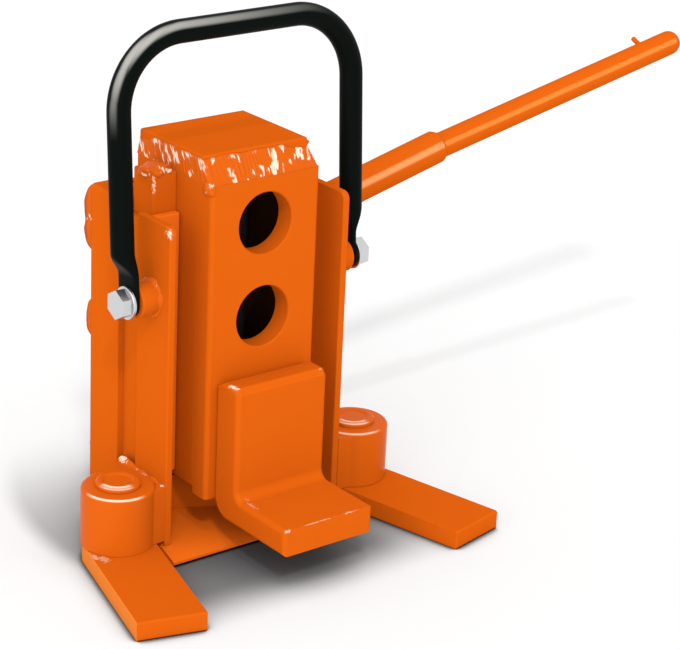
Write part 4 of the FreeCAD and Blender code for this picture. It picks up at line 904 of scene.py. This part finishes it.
# Camera, light and floor.
cameraValues = {"azimuth": -38.95, "elevation": 21.40, "roll": 2.63, "target": (99.3, -63.7, 184.9),
                "distance": 2245.6, "focalPixels": 2415.47, "widthPixels": 680,
                "sensorWidth": 36, "clip": (0.05, 60)}


def placeCamera():
    azimuth, elevation, roll = (math.radians(cameraValues[key]) for key in ("azimuth", "elevation", "roll"))
    back = Vector((math.sin(azimuth) * math.cos(elevation), -math.cos(azimuth) * math.cos(elevation),
                   math.sin(elevation)))
    right = Vector((math.cos(azimuth), math.sin(azimuth), 0))
    up = back.cross(right)
    tiltedRight = right * math.cos(roll) + up * math.sin(roll)
    tiltedUp = up * math.cos(roll) - right * math.sin(roll)
    camera = bpy.data.objects.new("photoView", bpy.data.cameras.new("photoView"))
    scene.collection.objects.link(camera)
    turn = Matrix((tiltedRight, tiltedUp, back)).transposed().to_4x4()
    camera.matrix_world = Matrix.Translation((Vector(cameraValues["target"])
                                              + back * cameraValues["distance"]) * mm) @ turn
    camera.data.sensor_width = cameraValues["sensorWidth"]
    camera.data.lens = cameraValues["focalPixels"] / cameraValues["widthPixels"] * camera.data.sensor_width
    camera.data.clip_start, camera.data.clip_end = cameraValues["clip"]
    scene.camera = camera


lampValues = {
    "key": {"from": (-0.35, -0.57, 0.75), "level": 0.23, "spread": 6},
    "overhead": {"from": (-0.22, -0.28, 0.93), "level": 0.08, "spread": 3},
    "front": {"from": (-0.76, -0.58, 0.28), "level": 0.30, "spread": 60},
}
worldValues = {"ambient": 0.84, "background": 1.0}


def makeLights():
    for name, values in lampValues.items():
        lamp = bpy.data.objects.new("lamp_" + name, bpy.data.lights.new("lamp_" + name, "SUN"))
        scene.collection.objects.link(lamp)
        lamp.data.energy = values["level"] * math.pi
        lamp.data.angle = math.radians(values["spread"])
        lamp.rotation_mode = "QUATERNION"
        lamp.rotation_quaternion = Vector(values["from"]).to_track_quat("Z", "Y")
    world = bpy.data.worlds.new("studio")
    scene.world = world
    world.use_nodes = True
    tree = world.node_tree
    seen = addNode(tree, "ShaderNodeLightPath", -800)
    shown = [seen.outputs[f"Is {kind} Ray"] for kind in ("Camera", "Glossy", "Transmission")]
    level = addNode(tree, "ShaderNodeMapRange", -200)
    setSockets(level, To_Min=worldValues["ambient"], To_Max=worldValues["background"])
    tree.links.new(largest(tree, shown), level.inputs["Value"])
    tree.links.new(level.outputs["Result"], tree.nodes["Background"].inputs["Strength"])
    tree.nodes["Background"].inputs["Color"].default_value = (1, 1, 1, 1)


# Spans of the ground in metres: axis, where shade begins, where it is full.
floorValues = {
    "half": 12, "pale": (0.885, 0.885, 0.885), "deep": (0.1, 0.102, 0.105),
    "hollowReach": 0.13, "hollow": (0.1, 0.86), "hollowPower": 1.3,
    "front": (("Y", -0.215, -0.14), ("Y", -0.06, -0.09), ("X", -0.17, -0.11), ("X", 0.17, 0.07)),
    "frontShade": 0.84,
    "bow": 1.8, "bowEdge": (-0.186, -0.156),
    "behind": (("Y", -0.07, -0.02), ("X", 0.06, -0.02), ("Y", 0.225, 0.02)), "behindShade": 0.53,
    "contactShadowReach": 0.012, "seam": (0.45, 0.8), "contactShadowShade": 0.85,
}


def makeFloor():
    # Pale ground with painted shade where little of the sky reaches it, a painted shadow in front under the
    # toe and behind the left housing as far as a curved line and less towards the back, and a painted contact
    # shadow in a seam along what stands on it.
    values = floorValues
    half = values["half"]
    mesh = bpy.data.meshes.new("floor")
    corners = [(-half, -half, 0), (half, -half, 0), (half, half, 0), (-half, half, 0)]
    mesh.from_pydata(corners, [], [(0, 1, 2, 3)])
    floor = bpy.data.objects.new("floor", mesh)
    scene.collection.objects.link(floor)
    material, tree, shader = startMaterial("paleFloor")
    setSockets(shader, Roughness=1.0, Specular_IOR_Level=0.0)
    axes = dict(zip("XYZ", splitPlace(tree)[1]))
    # painted shadows in front under the toe and behind the left housing
    front = product(tree, *[rampUp(tree, axes[axis], *span) for axis, *span in values["front"]],
                    values["frontShade"])
    bow = chain(tree, "SUBTRACT", axes["X"], product(tree, axes["Y"], axes["Y"], values["bow"]))
    behind = product(tree, rampUp(tree, bow, *values["bowEdge"]),
                     *[rampUp(tree, axes[axis], *span) for axis, *span in values["behind"]],
                     values["behindShade"])
    lit = product(tree, chain(tree, "SUBTRACT", 1.0, front), chain(tree, "SUBTRACT", 1.0, behind))
    # painted shade: ambient occlusion darkens the ground where little sky reaches it
    hollow = addNode(tree, "ShaderNodeAmbientOcclusion", -800, samples=16)
    setSockets(hollow, Distance=values["hollowReach"])
    skyShare = rampUp(tree, hollow.outputs["AO"], *values["hollow"])
    skyShare = chain(tree, "POWER", skyShare, values["hollowPower"])
    ground = blend(tree, product(tree, skyShare, lit), values["deep"], values["pale"])
    # painted contact shadow along what stands on the ground
    touch = addNode(tree, "ShaderNodeAmbientOcclusion", -800, -500, samples=8)
    setSockets(touch, Distance=values["contactShadowReach"])
    clear = product(tree, rampUp(tree, touch.outputs["AO"], *values["seam"]), values["contactShadowShade"])
    seam = chain(tree, "ADD", clear, 1 - values["contactShadowShade"])
    tree.links.new(blend(tree, seam, (0, 0, 0), ground), shader.inputs["Base Color"])
    mesh.materials.append(material)


placeCamera()
makeLights()
makeFloor()
print("stage set")
